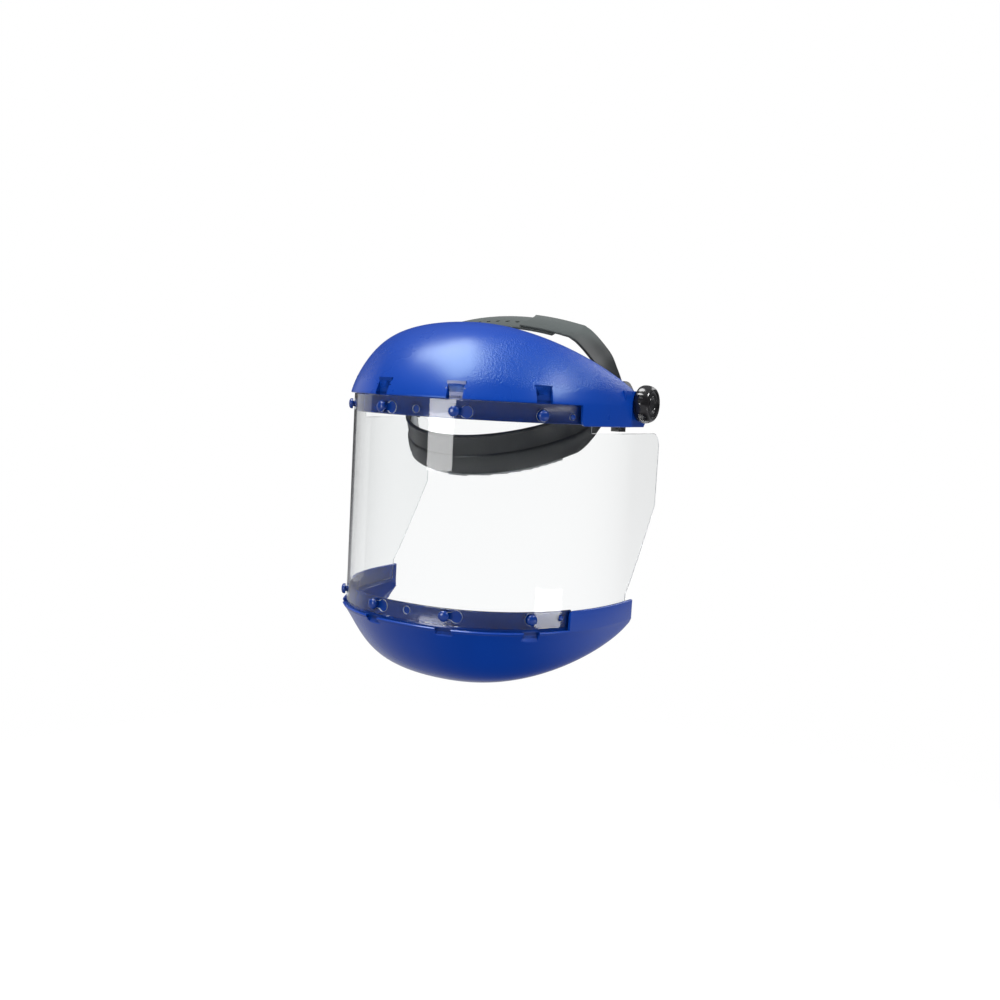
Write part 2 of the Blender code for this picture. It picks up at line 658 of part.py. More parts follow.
def make_pivot(side, plastic, steel, spring, rubber, knob_mat):
    name = "left" if side > 0 else "right"
    place = side_place(side)

    bm = bmesh.new()
    profile = ((BOLT_HOLE_R, BLOCK_IN), (17.0, BLOCK_IN), (17.0, BLOCK_OUT - 5.6), (9.5, BLOCK_OUT),
               (BOLT_HOLE_R, BLOCK_OUT))
    hollow_turned(bm, profile, place, 28)
    block = new_object(f"pivot_block_{name}", bm, plastic)
    stop = bmesh.new()
    nub = [Vector((side * x, y, z)) for x in (BLOCK_IN + 0.1, BLOCK_IN + 8.0)
           for y, z in ((-5.0, -22.3), (5.0, -22.3), (5.0, -12.0), (-5.0, -12.0))]
    loft(stop, [nub[:4], nub[4:]])
    combine(block, stop, "UNION")

    bm = bmesh.new()
    turned(bm, ((6.4, BOLT_HEAD_IN), (7.5, BOLT_HEAD_IN + 1.2), (7.5, BOLT_HEAD_IN + 2.5),
                (BOLT_R, BOLT_HEAD_IN + 2.5), (BOLT_R, BOLT_END - 0.6), (BOLT_R - 0.6, BOLT_END)), place, 16)
    new_object(f"pivot_bolt_{name}", bm, steel)

    bm = bmesh.new()
    washer = ((BOLT_HOLE_R, FRICTION_IN), (8.8, FRICTION_IN), (8.8, FRICTION_OUT), (BOLT_HOLE_R, FRICTION_OUT))
    hollow_turned(bm, washer, place)
    new_object(f"friction_washer_{name}", bm, rubber)

    bm = bmesh.new()
    angles = np.linspace(0, 2 * math.pi, 24, endpoint=False)
    wave = [0.35 * math.cos(3 * a) for a in angles]
    rings = [[place @ Vector((r * math.cos(a), r * math.sin(a), KNOB_IN + 1.1 + w + h))
              for r, h in ((4.0, -0.3), (8.0, -0.3), (8.0, 0.3), (4.0, 0.3))] for a, w in zip(angles, wave)]
    loft(bm, rings, closed=True)
    new_object(f"spring_washer_{name}", bm, spring)

    bm = bmesh.new()
    nut = circle(NUT_R, 6)
    prism(bm, nut, KNOB_IN + 2.4, KNOB_IN + 8.4, place)
    insert = new_object(f"knob_nut_{name}", bm, steel)
    bore = bmesh.new()
    prism(bore, circle(BOLT_R + 0.3), KNOB_IN, KNOB_OUT, place)
    combine(insert, bore, "DIFFERENCE")

    bm = bmesh.new()
    angles = np.linspace(0, 2 * math.pi, 36, endpoint=False)
    rings = []
    for share, height in ((0.86, 0.0), (0.97, 0.9), (1.0, 2.4), (1.0, 6.0), (0.96, 8.4), (0.86, 10.2),
                          (0.74, KNOB_OUT - KNOB_IN), (0.70, KNOB_OUT - KNOB_IN - 1.6)):
        lobes = [KNOB_R * (share + 0.022 * math.sin(math.pi * min(height / 9, 1)) * math.cos(12 * a)) for a in angles]
        rings.append([place @ Vector((r * math.cos(a), r * math.sin(a), KNOB_IN + height))
                      for r, a in zip(lobes, angles)])
    loft(bm, rings)
    knob = new_object(f"pivot_knob_{name}", bm, knob_mat)
    hollow = bmesh.new()
    prism(hollow, circle(8.6, 24), KNOB_IN - 1.0, KNOB_IN + 2.1, place)
    combine(knob, hollow, "DIFFERENCE")
    pocket = bmesh.new()
    prism(pocket, circle(NUT_R + 0.35, 6), KNOB_IN + 1.0, KNOB_IN + 8.7, place)
    combine(knob, pocket, "DIFFERENCE")


# ---------------------------------------------------------------- rear ratchet

def rear_arc(half_angle, profile, name, mat, steps=17):
    """Piece that follows the rear ellipse: a closed (proud, z) profile swept behind the head."""
    angles = np.linspace(-half_angle, half_angle, steps)
    rings = []
    for a in angles:
        point = Vector((BAND_HALF_WIDTH * math.sin(a), REAR_HALF_LENGTH * math.cos(a), REAR_STRAP_Z))
        normal = Vector((math.sin(a) / BAND_HALF_WIDTH, math.cos(a) / REAR_HALF_LENGTH, 0)).normalized()
        rings.append([point + normal * p + Vector((0, 0, z)) for p, z in profile])
    bm = bmesh.new()
    loft(bm, rings)
    return new_object(name, bm, mat)


def back_place(y=0.0):
    """Local Z points backward along +Y, at the ratchet's axis."""
    return Matrix.Translation((0, y, REAR_STRAP_Z)) @ Matrix.Rotation(-math.pi / 2, 4, "X")


def make_ratchet(plastic, pad_mat, steel, knob_mat):
    span = math.radians(23)
    y = REAR_HALF_LENGTH
    housing = rear_arc(span, ((-4.0, -13), (6.4, -13), (6.4, -9.4), (-2.0, -9.4), (-2.0, 9.4), (6.4, 9.4),
                              (6.4, 13), (-4.0, 13)), "ratchet_housing", plastic)
    cover = rear_arc(span, ((6.7, -13), (8.8, -13), (8.8, 13), (6.7, 13)), "ratchet_cover", plastic)
    hub = bmesh.new()
    prism(hub, circle(3.4), y - 12, y + 12, back_place())
    combine(housing, hub, "DIFFERENCE")
    bearing = bmesh.new()
    prism(bearing, circle(13.0, 24), y + 6.9, y + 10.6, back_place())
    combine(cover, bearing, "UNION")
    hole = bmesh.new()
    prism(hole, circle(4.4), y - 12, y + 16, back_place())
    combine(cover, hole, "DIFFERENCE")
    rear_arc(math.radians(20), ((-4.4, -12), (-4.4, 12), (-7.6, 11), (-8.6, 8), (-8.6, -8), (-7.6, -11)),
             "nape_pad", pad_mat)

    bm = bmesh.new()
    turned(bm, ((2.0, y - 3.4), (3.0, y - 3.0), (3.0, y - 1.8), (4.0, y - 1.8), (4.0, y + 6.2),
                (4.0, y + 12.4)), back_place(), 16)
    pinion = new_object("ratchet_pinion", bm, steel)
    teeth = bmesh.new()
    for k in range(10):
        turn = back_place() @ Matrix.Rotation(math.radians(36 * k), 4, "Z")
        prism(teeth, ((3.2, -0.75), (4.8, -0.4), (4.8, 0.4), (3.2, 0.75)), y - 1.4, y + 5.6, turn)
    combine(pinion, teeth, "UNION")

    bm = bmesh.new()
    angles = np.linspace(0, 2 * math.pi, 32, endpoint=False)
    rings = []
    for share, height in ((0.86, 0.0), (0.98, 1.2), (1.0, 3.5), (1.0, 8.0), (0.93, 10.6), (0.78, 12.0)):
        rings.append([back_place() @ Vector((RATCHET_R * (share + 0.02 * math.cos(16 * a)) * math.cos(a),
                                            RATCHET_R * (share + 0.02 * math.cos(16 * a)) * math.sin(a),
                                            y + 11.0 + height)) for a in angles])
    loft(bm, rings)
    knob = new_object("ratchet_knob", bm, knob_mat)
    socket = bmesh.new()
    prism(socket, circle(4.3), y + 9, y + 13.0, back_place())
    combine(knob, socket, "DIFFERENCE")

    bm = bmesh.new()
    angles = np.linspace(math.radians(20), math.radians(340), 18)
    rings = []
    for a in angles:
        out = Vector((math.cos(a), math.sin(a), 0))
        rings.append([back_place() @ (out * r + Vector((0, 0, y + h)))
                      for r, h in ((5.4, 5.0), (6.6, 5.0), (6.6, 6.0), (5.4, 6.0))])
    loft(bm, rings)
    new_object("pawl_spring", bm, steel)


def main():
    clear_scene()
    blue = material("crown_blue", (0.02, 0.08, 0.55), 0.28)
    clear = material("clear_sheet", (0.95, 0.97, 0.98), 0.05, alpha=0.15)
    dark = material("headgear_grey", (0.06, 0.07, 0.07), 0.5)
    grey = material("strap_grey", (0.12, 0.13, 0.13), 0.45)
    black = material("knob_black", (0.01, 0.01, 0.012), 0.3)
    steel = material("plated_steel", (0.6, 0.6, 0.58), 0.3, 1.0)
    rubber = material("friction_fibre", (0.05, 0.04, 0.035), 0.8)
    foam = material("brow_foam", (0.2, 0.2, 0.2), 0.9)

    make_crown(blue)
    make_chin_guard(blue)
    make_window(clear)
    make_headband(dark)
    make_sweatband(foam)
    make_top_straps(grey)
    make_rear_strap("rear_strap_left", 1, 3.8, dark)
    make_rear_strap("rear_strap_right", -1, 1.2, dark)
    for side in (-1, 1):
        make_pivot(side, black, steel, steel, rubber, black)
    make_ratchet(dark, foam, steel, black)


main()
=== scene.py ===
"""Finished look of the dual-crown face shield.

Frame: +X is the wearer's left, -Y is the front, +Z is up, and the tilt axis is the X axis.
Shapes are worked out in millimetres as whole arrays; new_piece turns them into metres.
"""
import math

import bpy
import numpy as np
from mathutils import Matrix, Vector


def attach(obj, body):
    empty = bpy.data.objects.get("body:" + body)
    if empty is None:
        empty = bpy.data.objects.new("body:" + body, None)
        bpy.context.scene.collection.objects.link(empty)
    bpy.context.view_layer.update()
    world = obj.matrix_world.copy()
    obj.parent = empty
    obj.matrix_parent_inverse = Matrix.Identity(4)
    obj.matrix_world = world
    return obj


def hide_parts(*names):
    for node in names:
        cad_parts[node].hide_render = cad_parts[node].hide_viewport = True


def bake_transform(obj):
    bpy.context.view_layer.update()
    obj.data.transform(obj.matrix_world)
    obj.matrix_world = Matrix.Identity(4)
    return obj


MM = 0.001

# Window's plan curve and sheet
HALF_WIDTH = 112.7
HALF_DEPTH = 140.1
PLAN_POWER = 2.32
PLAN_Y = 3.4
WINDOW_WALL = 1.2
WINDOW_TOP = -3.4
WINDOW_BOTTOM = -166.0
WINDOW_HALF = 249.0
EAR_TOP = -23.0
EAR_STEP = 139.5
EAR_CORNER = 12.0
EAR_SIDE_BOTTOM = -81.0
TAIL_HALF = 201.0
TAIL_TOP = -149.0

# Posts and keyholes, as arc lengths from the front centre
POST_ARCS = np.array((-95.5, -31.5, 31.5, 95.5))
PIN_ARCS = np.array((-120.5, 120.5))
KEYHOLE_ARCS = (-95.5, -31.5, 31.5)
ROUND_HOLE_ARCS = (95.5,)
CROWN_POST_Z = -11.7
CHIN_POST_Z = -158.8

# Shells
PROUD = 3.0
WALL = 2.4
EDGE_WALL_LEAST = 1.2
RIM_OUTER = -1.6
RIM_WALL = 2.4
RECESS_HALF = 127.2
RIM_HALF = 131.0
SHELF_WALL = 2.2
NOTCH_HALF = 6.25
NOTCH_HEIGHT = 12.5
NOTCH_FLOOR = -1.15
CROWN = dict(half=185.5, foot=-2.2, ends=4.0, crest=55.3, back=-75.0, end_y=3.4, powers=(1.27, 3.0, 0.72),
             handles=(0.31, 0.08, 0.56), spread=1.7, end_turn=math.radians(81.0))
CHIN = dict(half=208.7, foot=-169.0, ends=-173.3, crest=-220.5, back=-84.0, end_y=7.5,
            powers=(1.18, 3.0, 0.65),
            handles=(0.27, 0.21, 0.54), spread=1.4, end_turn=math.radians(89.5))
CROWN_SHELF = -3.0
CROWN_RIM_BOTTOM = -17.0
CROWN_PANEL_BOTTOM = -18.0
CHIN_SHELF = -168.0
CHIN_RIM_TOP = -153.7

# Pivot, headgear and ratchet
BOSS_IN, BOSS_OUT = 110.8, 114.4
BOLT_HOLE_R = 3.6
KNOB_IN, KNOB_OUT, KNOB_R = 114.8, 126.2, 14.3
NUT_R = 5.5
HEAD_TILT = math.radians(20.0)
BAND_HALF_WIDTH = 82.0
BAND_HALF_LENGTH = 97.0
BAND_LOW, BAND_HIGH = -29.0, 2.5
TAB_LOW, TAB_HIGH = -11.0, 8.0
BAND_WALL = 2.2
BAND_END = 90.9
RIDGE = 1.1
STRAP_FOOT = 93.2
STRAP_HALF = 14.0
STRAP_WALL = 2.0
STRAP_Y = 3.5
STRAP_APEX = 65.5
STRAP_FOLD = (66.0, 56.0)
PEG_X = 30.0
REAR_LINE = 88.3
REAR_WALL = 1.5
REAR_HALF = 8.0
REAR_Z = -7.0
RATCHET_Y = 97.0
RATCHET_R = 18.0


# ---------------------------------------------------------------- mesh tools

def skin(rings, closed=False):
    """Vertices and faces of closed point loops laid along a path: four-sided faces between
    neighbouring loops and a flat cap on each end, or a ring of loops without caps."""
    rows, count = rings.shape[:2]
    here = np.arange(rows * count).reshape(rows, count)
    ahead = np.roll(here, -1, axis=0)
    if not closed:
        here, ahead = here[:-1], ahead[:-1]
    quads = np.stack((here, np.roll(here, -1, 1), np.roll(ahead, -1, 1), ahead), -1).reshape(-1, 4)
    points = rings.reshape(-1, 3)
    faces = quads.tolist()
    a, b, c, d = (points[quads[:, k]] for k in range(4))
    volume = np.einsum("ij,ij->", a, np.cross(b, c)) + np.einsum("ij,ij->", a, np.cross(c, d))
    if not closed:
        last = (rows - 1) * count
        faces += [list(range(count))[::-1], list(range(last, last + count))]
        for loop, way in ((points[:count], -1), (points[last:], 1)):
            fan = np.cross(loop[1:-1], loop[2:])
            volume += way * float(np.sum(fan @ loop[0]))
    if volume < 0:
        faces = [face[::-1] for face in faces]
    return points, faces


def gather(parts):
    """Several closed parts as one list of vertices and faces."""
    starts = np.cumsum([0] + [len(points) for points, _ in parts])
    faces = [[int(start) + i for i in face] for start, (_, part) in zip(starts, parts) for face in part]
    return np.concatenate([points for points, _ in parts]), faces


def plain_object(name, parts):
    points, faces = gather(parts)
    mesh = bpy.data.meshes.new(name)
    mesh.from_pydata((points * MM).tolist(), [], faces)
    obj = bpy.data.objects.new(name, mesh)
    bpy.context.scene.collection.objects.link(obj)
    return obj


def take_mesh(obj):
    """The object's mesh with its modifiers worked in."""
    graph = bpy.context.evaluated_depsgraph_get()
    made = bpy.data.meshes.new_from_object(obj.evaluated_get(graph))
    obj.modifiers.clear()
    obj.data = made


def carve(obj, parts):
    """Take closed parts out of the object."""
    cutter = plain_object(obj.name + "_cut", parts)
    cut = obj.modifiers.new("cut", "BOOLEAN")
    cut.operation = "DIFFERENCE"
    cut.solver = "EXACT"
    cut.object = cutter
    take_mesh(obj)
    bpy.data.objects.remove(cutter)


def new_piece(name, parts, finish, body, cuts=None, sharp=32.0, replaces=()):
    """A finished piece, riding on a body if one is named, with soft shading except across sharp edges."""
    obj = plain_object(name, parts)
    if cuts:
        carve(obj, cuts)
    obj.data.materials.clear()
    obj.data.materials.append(finish)
    obj.data.shade_smooth()
    obj.data.set_sharp_from_angle(angle=math.radians(sharp))
    if body:
        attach(obj, body)
    if replaces:
        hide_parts(*replaces)
    return obj


def soften(obj, width, segments=2, angle=40.0):
    """Small rounding along the sharp edges, in millimetres."""
    bevel = obj.modifiers.new("edge rounding", "BEVEL")
    bevel.width = width * MM
    bevel.segments = segments
    bevel.limit_method = "ANGLE"
    bevel.angle_limit = math.radians(angle)
    bevel.harden_normals = True


def ramp(t):
    """Smooth step from 0 to 1."""
    t = np.clip(t, 0.0, 1.0)
    return t * t * (3 - 2 * t)


def up(height):
    """Height above the frame's origin as a vector for each entry."""
    height = np.asarray(height, float)
    return np.stack((0 * height, 0 * height, height), -1)


def turned(profile, axes, segments=28, closed=False, lobes=None):
    """Solid of revolution: each (radius, height) point becomes a circle about the frame's outward
    axis; lobes, if given, scales the radius by angle and height."""
    origin, along, rise, out = axes
    angle = np.linspace(0, 2 * np.pi, segments, endpoint=False)
    radius, height = np.array(profile, float).T
    reach = radius[:, None] * np.ones(segments)
    if lobes:
        reach = reach * lobes(angle[None, :], height[:, None])
    rings = (origin + reach[..., None] * (np.cos(angle)[None, :, None] * along
                                         + np.sin(angle)[None, :, None] * rise)
             + height[:, None, None] * out)
    if closed:
        return skin(rings.transpose(1, 0, 2), closed=True)
    return skin(rings)


def prism(outline, low, high, axes):
    """Flat (along, up) outline drawn out from low to high along the frame's outward axis."""
    origin, along, rise, out = axes
    flat = np.array(outline, float)
    base = origin + flat[:, :1] * along + flat[:, 1:] * rise
    return skin(np.stack((base + low * out, base + high * out)))


def block(low, high, axes):
    outline = ((low[0], low[1]), (high[0], low[1]), (high[0], high[1]), (low[0], high[1]))
    return prism(outline, low[2], high[2], axes)


def disc(radius, segments=32, centre=(0.0, 0.0)):
    angle = np.linspace(0, 2 * np.pi, segments, endpoint=False)
    return np.stack((centre[0] + radius * np.cos(angle), centre[1] + radius * np.sin(angle)), 1)


def side_frame(side):
    """Outward axis along X at the given side."""
    return (np.zeros(3), np.array((0.0, 1.0, 0.0)), np.array((0.0, 0.0, 1.0)),
            np.array((float(side), 0.0, 0.0)))


def back_frame():
    """Outward axis backward, through the ratchet's centre."""
    return (np.array((0.0, 0.0, REAR_Z)), np.array((1.0, 0.0, 0.0)), np.array((0.0, 0.0, 1.0)),
            np.array((0.0, 1.0, 0.0)))


def lean(points):
    """Turn points forward about X by the headgear's tilt."""
    c, s = math.cos(HEAD_TILT), math.sin(HEAD_TILT)
    turn = np.array(((1, 0, 0), (0, c, -s), (0, s, c)))
    return points @ turn.T


def curve_through(knots, per_span=8):
    """Catmull-Rom curve: each span blends its four nearest knots with cubic weights."""
    knots = np.array(knots, float)
    place = np.linspace(0, len(knots) - 1, (len(knots) - 1) * per_span + 1)
    start = np.minimum(place.astype(int), len(knots) - 2)
    t = (place - start)[:, None]
    a, b, c, d = (knots[np.clip(start + k, 0, len(knots) - 1)] for k in (-1, 0, 1, 2))
    return 0.5 * (2 * b + (c - a) * t + (2 * a - 5 * b + 4 * c - d) * t ** 2
                  + (3 * b - a - 3 * c + d) * t ** 3)


def path_normals(path):
    """Unit normals to the right of a flat path's direction."""
    step = np.gradient(path, axis=0)
    step /= np.linalg.norm(step, axis=1, keepdims=True)
    return np.stack((step[:, 1], -step[:, 0]), 1)


# ---------------------------------------------------------------- plan curve

def plan_curve():
    """Arc length, x and y of the window's outer face seen from above: a superellipse quarter,
    x = a sin^(2/p), y = -b cos^(2/p), that runs straight back past its widest place."""
    angle = np.linspace(0, np.pi / 2, 1500)
    x = np.append(HALF_WIDTH * np.sin(angle) ** (2 / PLAN_POWER), HALF_WIDTH)
    y = np.append(-HALF_DEPTH * np.cos(angle) ** (2 / PLAN_POWER), 100.0)
    arc = np.append(0.0, np.cumsum(np.hypot(np.diff(x), np.diff(y))))
    return arc, x, y + PLAN_Y


PLAN = plan_curve()


def on_plan(arc, proud=0.0):
    """Points on the plan curve moved outward by proud, and the outward normals."""
    arc = np.asarray(arc, float)
    span, side = np.abs(arc), np.where(arc < 0, -1.0, 1.0)
    x, y = np.interp(span, PLAN[0], PLAN[1]), np.interp(span, PLAN[0], PLAN[2])
    ahead, behind = span + 1.0, np.maximum(span - 1.0, 0.0)
    dx = np.interp(ahead, PLAN[0], PLAN[1]) - np.interp(behind, PLAN[0], PLAN[1])
    dy = (np.interp(ahead, PLAN[0], PLAN[2]) - np.interp(behind, PLAN[0], PLAN[2])) * np.minimum(span, 1.0)
    length = np.hypot(dx, dy)
    out = np.stack((side * dy / length, -dx / length, 0 * x), -1)
    return np.stack((side * x, y, 0 * x), -1) + out * np.asarray(proud, float)[..., None], out


def plan_frame(arc, z):
    """Frame on the window's face: along it, up, and outward."""
    point, out = on_plan(arc)
    rise = np.array((0.0, 0.0, 1.0))
    return point + up(z), np.cross(rise, out), rise, out


def columns(half, step, marks=()):
    """Even arc lengths from -half to half that pass through the marked places."""
    even = np.linspace(-half, half, 2 * round(half / step) + 1)
    marks = np.array(sorted(marks), float)
    if len(marks):
        even = even[np.min(np.abs(even[:, None] - marks[None, :]), axis=1) > 0.5]
    return np.sort(np.concatenate((even, marks)))


def band(arc, profile):
    """Closed (proud, z) profile carried along the plan curve."""
    proud, z = np.array(profile, float).T
    rings = on_plan(arc[:, None] + 0 * proud[None, :], proud[None, :] + 0 * arc[:, None])[0]
    return skin(rings + up(z)[None])


# ---------------------------------------------------------------- shells

def edge_arch(turn, shape):
    """Rear edge of a shell: x is a sine of the turn, z an arch, and y sweeps back to the pivots."""
    x = HALF_WIDTH * np.sin(turn)
    low_power, sweep_in, sweep_out = shape["powers"]
    y = shape["back"] * (1 - (np.abs(x) / HALF_WIDTH) ** sweep_in) ** sweep_out + shape["end_y"]
    z = shape["ends"] + (shape["crest"] - shape["ends"]) * np.cos(turn) ** low_power
    return np.stack((x, y, z), -1)


def shell(shape, arc, lip, rows=44):
    """Curved shell. Each column is a cubic Bezier from its foot on the plan curve to the rear edge,
    and the wall is set inward along the surface's normal, thinning toward the edge."""
    rise, lean_out, reach = shape["handles"]
    foot_z = shape["foot"]
    t = np.linspace(0, 1, rows)
    first, second, last = 3 * t * (1 - t) ** 2, 3 * t * t * (1 - t), t ** 3
    share = lean_out * first + (1 - reach) * second + last
    climb = rise * first + second + last
    foot = on_plan(arc, PROUD)[0] + up(foot_z)
    turn = shape["end_turn"] * (np.abs(arc) / shape["half"]) ** shape["spread"] * np.sign(arc)
    top = edge_arch(turn, shape)
    outer = foot[:, None] + (top - foot)[:, None] * share[None, :, None]
    outer[:, :, 2] = foot_z + (top[:, 2:] - foot_z) * climb[None, :]
    normals = np.cross(np.gradient(outer, axis=0), np.gradient(outer, axis=1))
    normals /= np.linalg.norm(normals, axis=2, keepdims=True)
    if np.sum(normals[:, 0] * (outer[:, 0] - np.array((0.0, 0.0, foot_z)))) < 0:
        normals = -normals
    wall = np.clip(0.12 * np.abs(outer[:, -1, 2] - foot_z), EDGE_WALL_LEAST, WALL)[:, None]
    inner = outer - (WALL + (wall - WALL) * t[None, :])[..., None] * normals
    depth = outer[:, :, 2] - foot_z
    way = np.sign(depth[:, -1:])
    inner[:, :, 2] = foot_z + way * np.maximum(way * (inner[:, :, 2] - foot_z), 0.5 * way * depth)
    inner[:, 0] = on_plan(arc, PROUD - WALL)[0] + up(foot_z)
    edge = outer[:, -1] - outer[:, -2]
    edge /= np.linalg.norm(edge, axis=1, keepdims=True)
    edge = 0.5 * (outer[:, -1] + inner[:, -1]) + 0.4 * wall * edge
    low = lip(np.abs(arc))
    inward = 0.5 * way[:, 0]
    lips = [on_plan(arc, proud)[0] + up(low + lift)
            for proud, lift in ((PROUD - 0.5, 0.0), (PROUD, inward),
                                (PROUD - WALL, inward), (PROUD - WALL + 0.5, 0.0))]
    rings = np.concatenate((lips[0][:, None], lips[1][:, None], outer, edge[:, None], inner[:, ::-1],
                            lips[2][:, None], lips[3][:, None]), axis=1)
    return skin(rings)


def shell_columns(shape):
    return columns(shape["half"], 2.2,
                   [s * (RECESS_HALF + d) for s in (-1, 1) for d in (-0.2, 0.2, 0.9, 2.0, 3.2)])


def crown_lip(span):
    """Lower edge of the crown: the shelf's height, then the side panel behind a rounded corner."""
    round_off = np.clip((RECESS_HALF + 3.2 - span) / 3.0, 0.0, 1.0)
    corner = 3.0 * (1 - np.sqrt(1 - round_off ** 2))
    return np.where(span < RECESS_HALF, CROWN_SHELF, CROWN_PANEL_BOTTOM + corner)


def chin_lip(span):
    round_off = np.clip((RECESS_HALF + 3.2 - span) / 3.0, 0.0, 1.0)
    corner = 3.0 * (1 - np.sqrt(1 - round_off ** 2))
    return np.where(span < RECESS_HALF, CHIN_SHELF, CHIN_RIM_TOP - corner)


def notch_cuts(low, high):
    return [block((-NOTCH_HALF, low, NOTCH_FLOOR), (NOTCH_HALF, high, 8.0), plan_frame(arc, 0.0))
            for arc in POST_ARCS]


def notch_liners(low, high, side_low, side_high):
    """Wall behind each notch and its two cheeks, which close the pocket to the shell."""
    parts = []
    for arc in POST_ARCS:
        axes = plan_frame(arc, 0.0)
        parts.append(block((-NOTCH_HALF - 0.8, low, NOTCH_FLOOR - 2.0),
                           (NOTCH_HALF + 0.8, high, NOTCH_FLOOR), axes))
        for side in (-1, 1):
            near, far = sorted((side * (NOTCH_HALF + 0.05), side * (NOTCH_HALF + 1.4)))
            parts.append(block((near, side_low, NOTCH_FLOOR - 2.0), (far, side_high, 0.3), axes))
    return parts


def snap_posts(z):
    """Mushroom posts and the small end pins: turned about the window's normal."""
    head = ((2.5, RIM_OUTER - 0.6), (2.2, -0.6), (2.2, 1.0), (3.7, 1.05), (4.0, 1.3), (4.0, 2.5), (3.8, 3.0),
            (3.2, 3.6), (2.3, 4.0), (1.2, 4.2), (0.4, 4.25))
    pin = ((1.9, RIM_OUTER - 0.6), (1.9, 0.6), (1.6, 1.1), (1.0, 1.3), (0.3, 1.32))
    return ([turned(head, plan_frame(arc, z)) for arc in POST_ARCS]
            + [turned(pin, plan_frame(arc, z), 16) for arc in PIN_ARCS])


def make_crown(blue, shaded_rim_blue):
    arc = shell_columns(CROWN)
    holes = [prism(disc(BOLT_HOLE_R), -10.0, 130.0, side_frame(side)) for side in (-1, 1)]
    dome = new_piece("crown_dome", [shell(CROWN, arc, crown_lip)], blue, "shield",
                     notch_cuts(CROWN_SHELF - 1.0, CROWN_SHELF + NOTCH_HEIGHT), replaces=("crown",))
    carve(dome, holes)
    dome.data.shade_smooth()
    dome.data.set_sharp_from_angle(angle=math.radians(32))
    inside, reach = RIM_OUTER - RIM_WALL, PROUD - 0.8
    shelf_low, shelf_high = CROWN_SHELF + 0.1, CROWN_SHELF + 0.1 + SHELF_WALL
    profile = ((inside, CROWN_RIM_BOTTOM + 0.6), (inside + 0.6, CROWN_RIM_BOTTOM),
               (RIM_OUTER - 0.6, CROWN_RIM_BOTTOM),
               (RIM_OUTER, CROWN_RIM_BOTTOM + 0.6), (RIM_OUTER, shelf_low - 1.2),
               (RIM_OUTER + 0.35, shelf_low - 0.35),
               (RIM_OUTER + 1.2, shelf_low), (reach, shelf_low), (reach, shelf_high), (inside, shelf_high))
    # The rim, posts and notch pockets take the darker blue: painted shade for their recessed place behind the
    # window.
    rim = new_piece("crown_rim", [band(columns(RIM_HALF, 2.4), profile)], shaded_rim_blue, "shield",
                    notch_cuts(CROWN_SHELF - 1.0, CROWN_SHELF + NOTCH_HEIGHT))
    new_piece("crown_posts", snap_posts(CROWN_POST_Z), shaded_rim_blue, "shield")
    new_piece("crown_notch_pockets",
              notch_liners(CROWN_SHELF + 0.4, CROWN_SHELF + NOTCH_HEIGHT + 0.4, CROWN_SHELF + 0.4,
                                                  CROWN_SHELF + 8.0), shaded_rim_blue, "shield")
    bosses = []
    for side in (-1, 1):
        rings = [[(side * x, y, z) for y, z in ((front, -17.9), (10, -17.9), (13.5, -14), (13.5, 5), (9, 9.6),
                                                (front, 9.6))]
                 for x, front in ((BOSS_IN, -26.0), (BOSS_OUT - 0.6, -26.0), (BOSS_OUT - 0.5, -13.9),
                                  (BOSS_OUT, -13.9))]
        bosses.append(skin(np.array(rings)))
    boss = new_piece("pivot_bosses", bosses, blue, "shield", holes)
    soften(boss, 0.7, 3)
    return dome, rim


def make_chin_guard(blue, shaded_rim_blue):
    arc = shell_columns(CHIN)
    cuts = notch_cuts(CHIN_SHELF - NOTCH_HEIGHT, CHIN_SHELF + 1.0)
    new_piece("chin_bowl", [shell(CHIN, arc, chin_lip)], blue, "shield", cuts,
              replaces=("chin_guard",))
    inside, reach = RIM_OUTER - RIM_WALL, PROUD - 0.8
    shelf_low, shelf_high = CHIN_SHELF - 0.1 - SHELF_WALL, CHIN_SHELF - 0.1
    profile = ((inside, shelf_low), (reach, shelf_low), (reach, shelf_high), (RIM_OUTER + 1.2, shelf_high),
               (RIM_OUTER + 0.35, shelf_high + 0.35), (RIM_OUTER, shelf_high + 1.2),
               (RIM_OUTER, CHIN_RIM_TOP - 0.6),
               (RIM_OUTER - 0.6, CHIN_RIM_TOP), (inside + 0.6, CHIN_RIM_TOP), (inside, CHIN_RIM_TOP - 0.6))
    # The rim, posts and notch pockets take the darker blue: painted shade for their recessed place behind the
    # window.
    new_piece("chin_rim", [band(columns(RIM_HALF, 2.4), profile)], shaded_rim_blue, "shield", cuts)
    new_piece("chin_posts", snap_posts(CHIN_POST_Z), shaded_rim_blue, "shield")
    new_piece("chin_notch_pockets", notch_liners(CHIN_SHELF - 4.8, CHIN_SHELF - 0.4, CHIN_SHELF - 4.4,
                                                 CHIN_SHELF - 0.4), shaded_rim_blue, "shield")


# ---------------------------------------------------------------- window

def window_heights(arc):
    """Lower and upper edge of the sheet: ears with a round corner at the top, and a tail that
    climbs to the ear's rear side along a power curve."""
    span = np.abs(arc)
    top = np.where(span <= EAR_STEP, WINDOW_TOP, EAR_TOP)
    past = np.maximum(span - (WINDOW_HALF - EAR_CORNER), 0.0)
    top = np.where(past > 0, EAR_TOP - EAR_CORNER + np.sqrt(np.maximum(EAR_CORNER ** 2 - past ** 2, 0.0)),
                   top)
    climb = np.maximum(span - TAIL_HALF, 0.0) / (WINDOW_HALF - TAIL_HALF)
    tail = TAIL_TOP + (EAR_SIDE_BOTTOM - TAIL_TOP) * climb ** 1.12
    return np.where(span <= TAIL_HALF, WINDOW_BOTTOM, tail), top


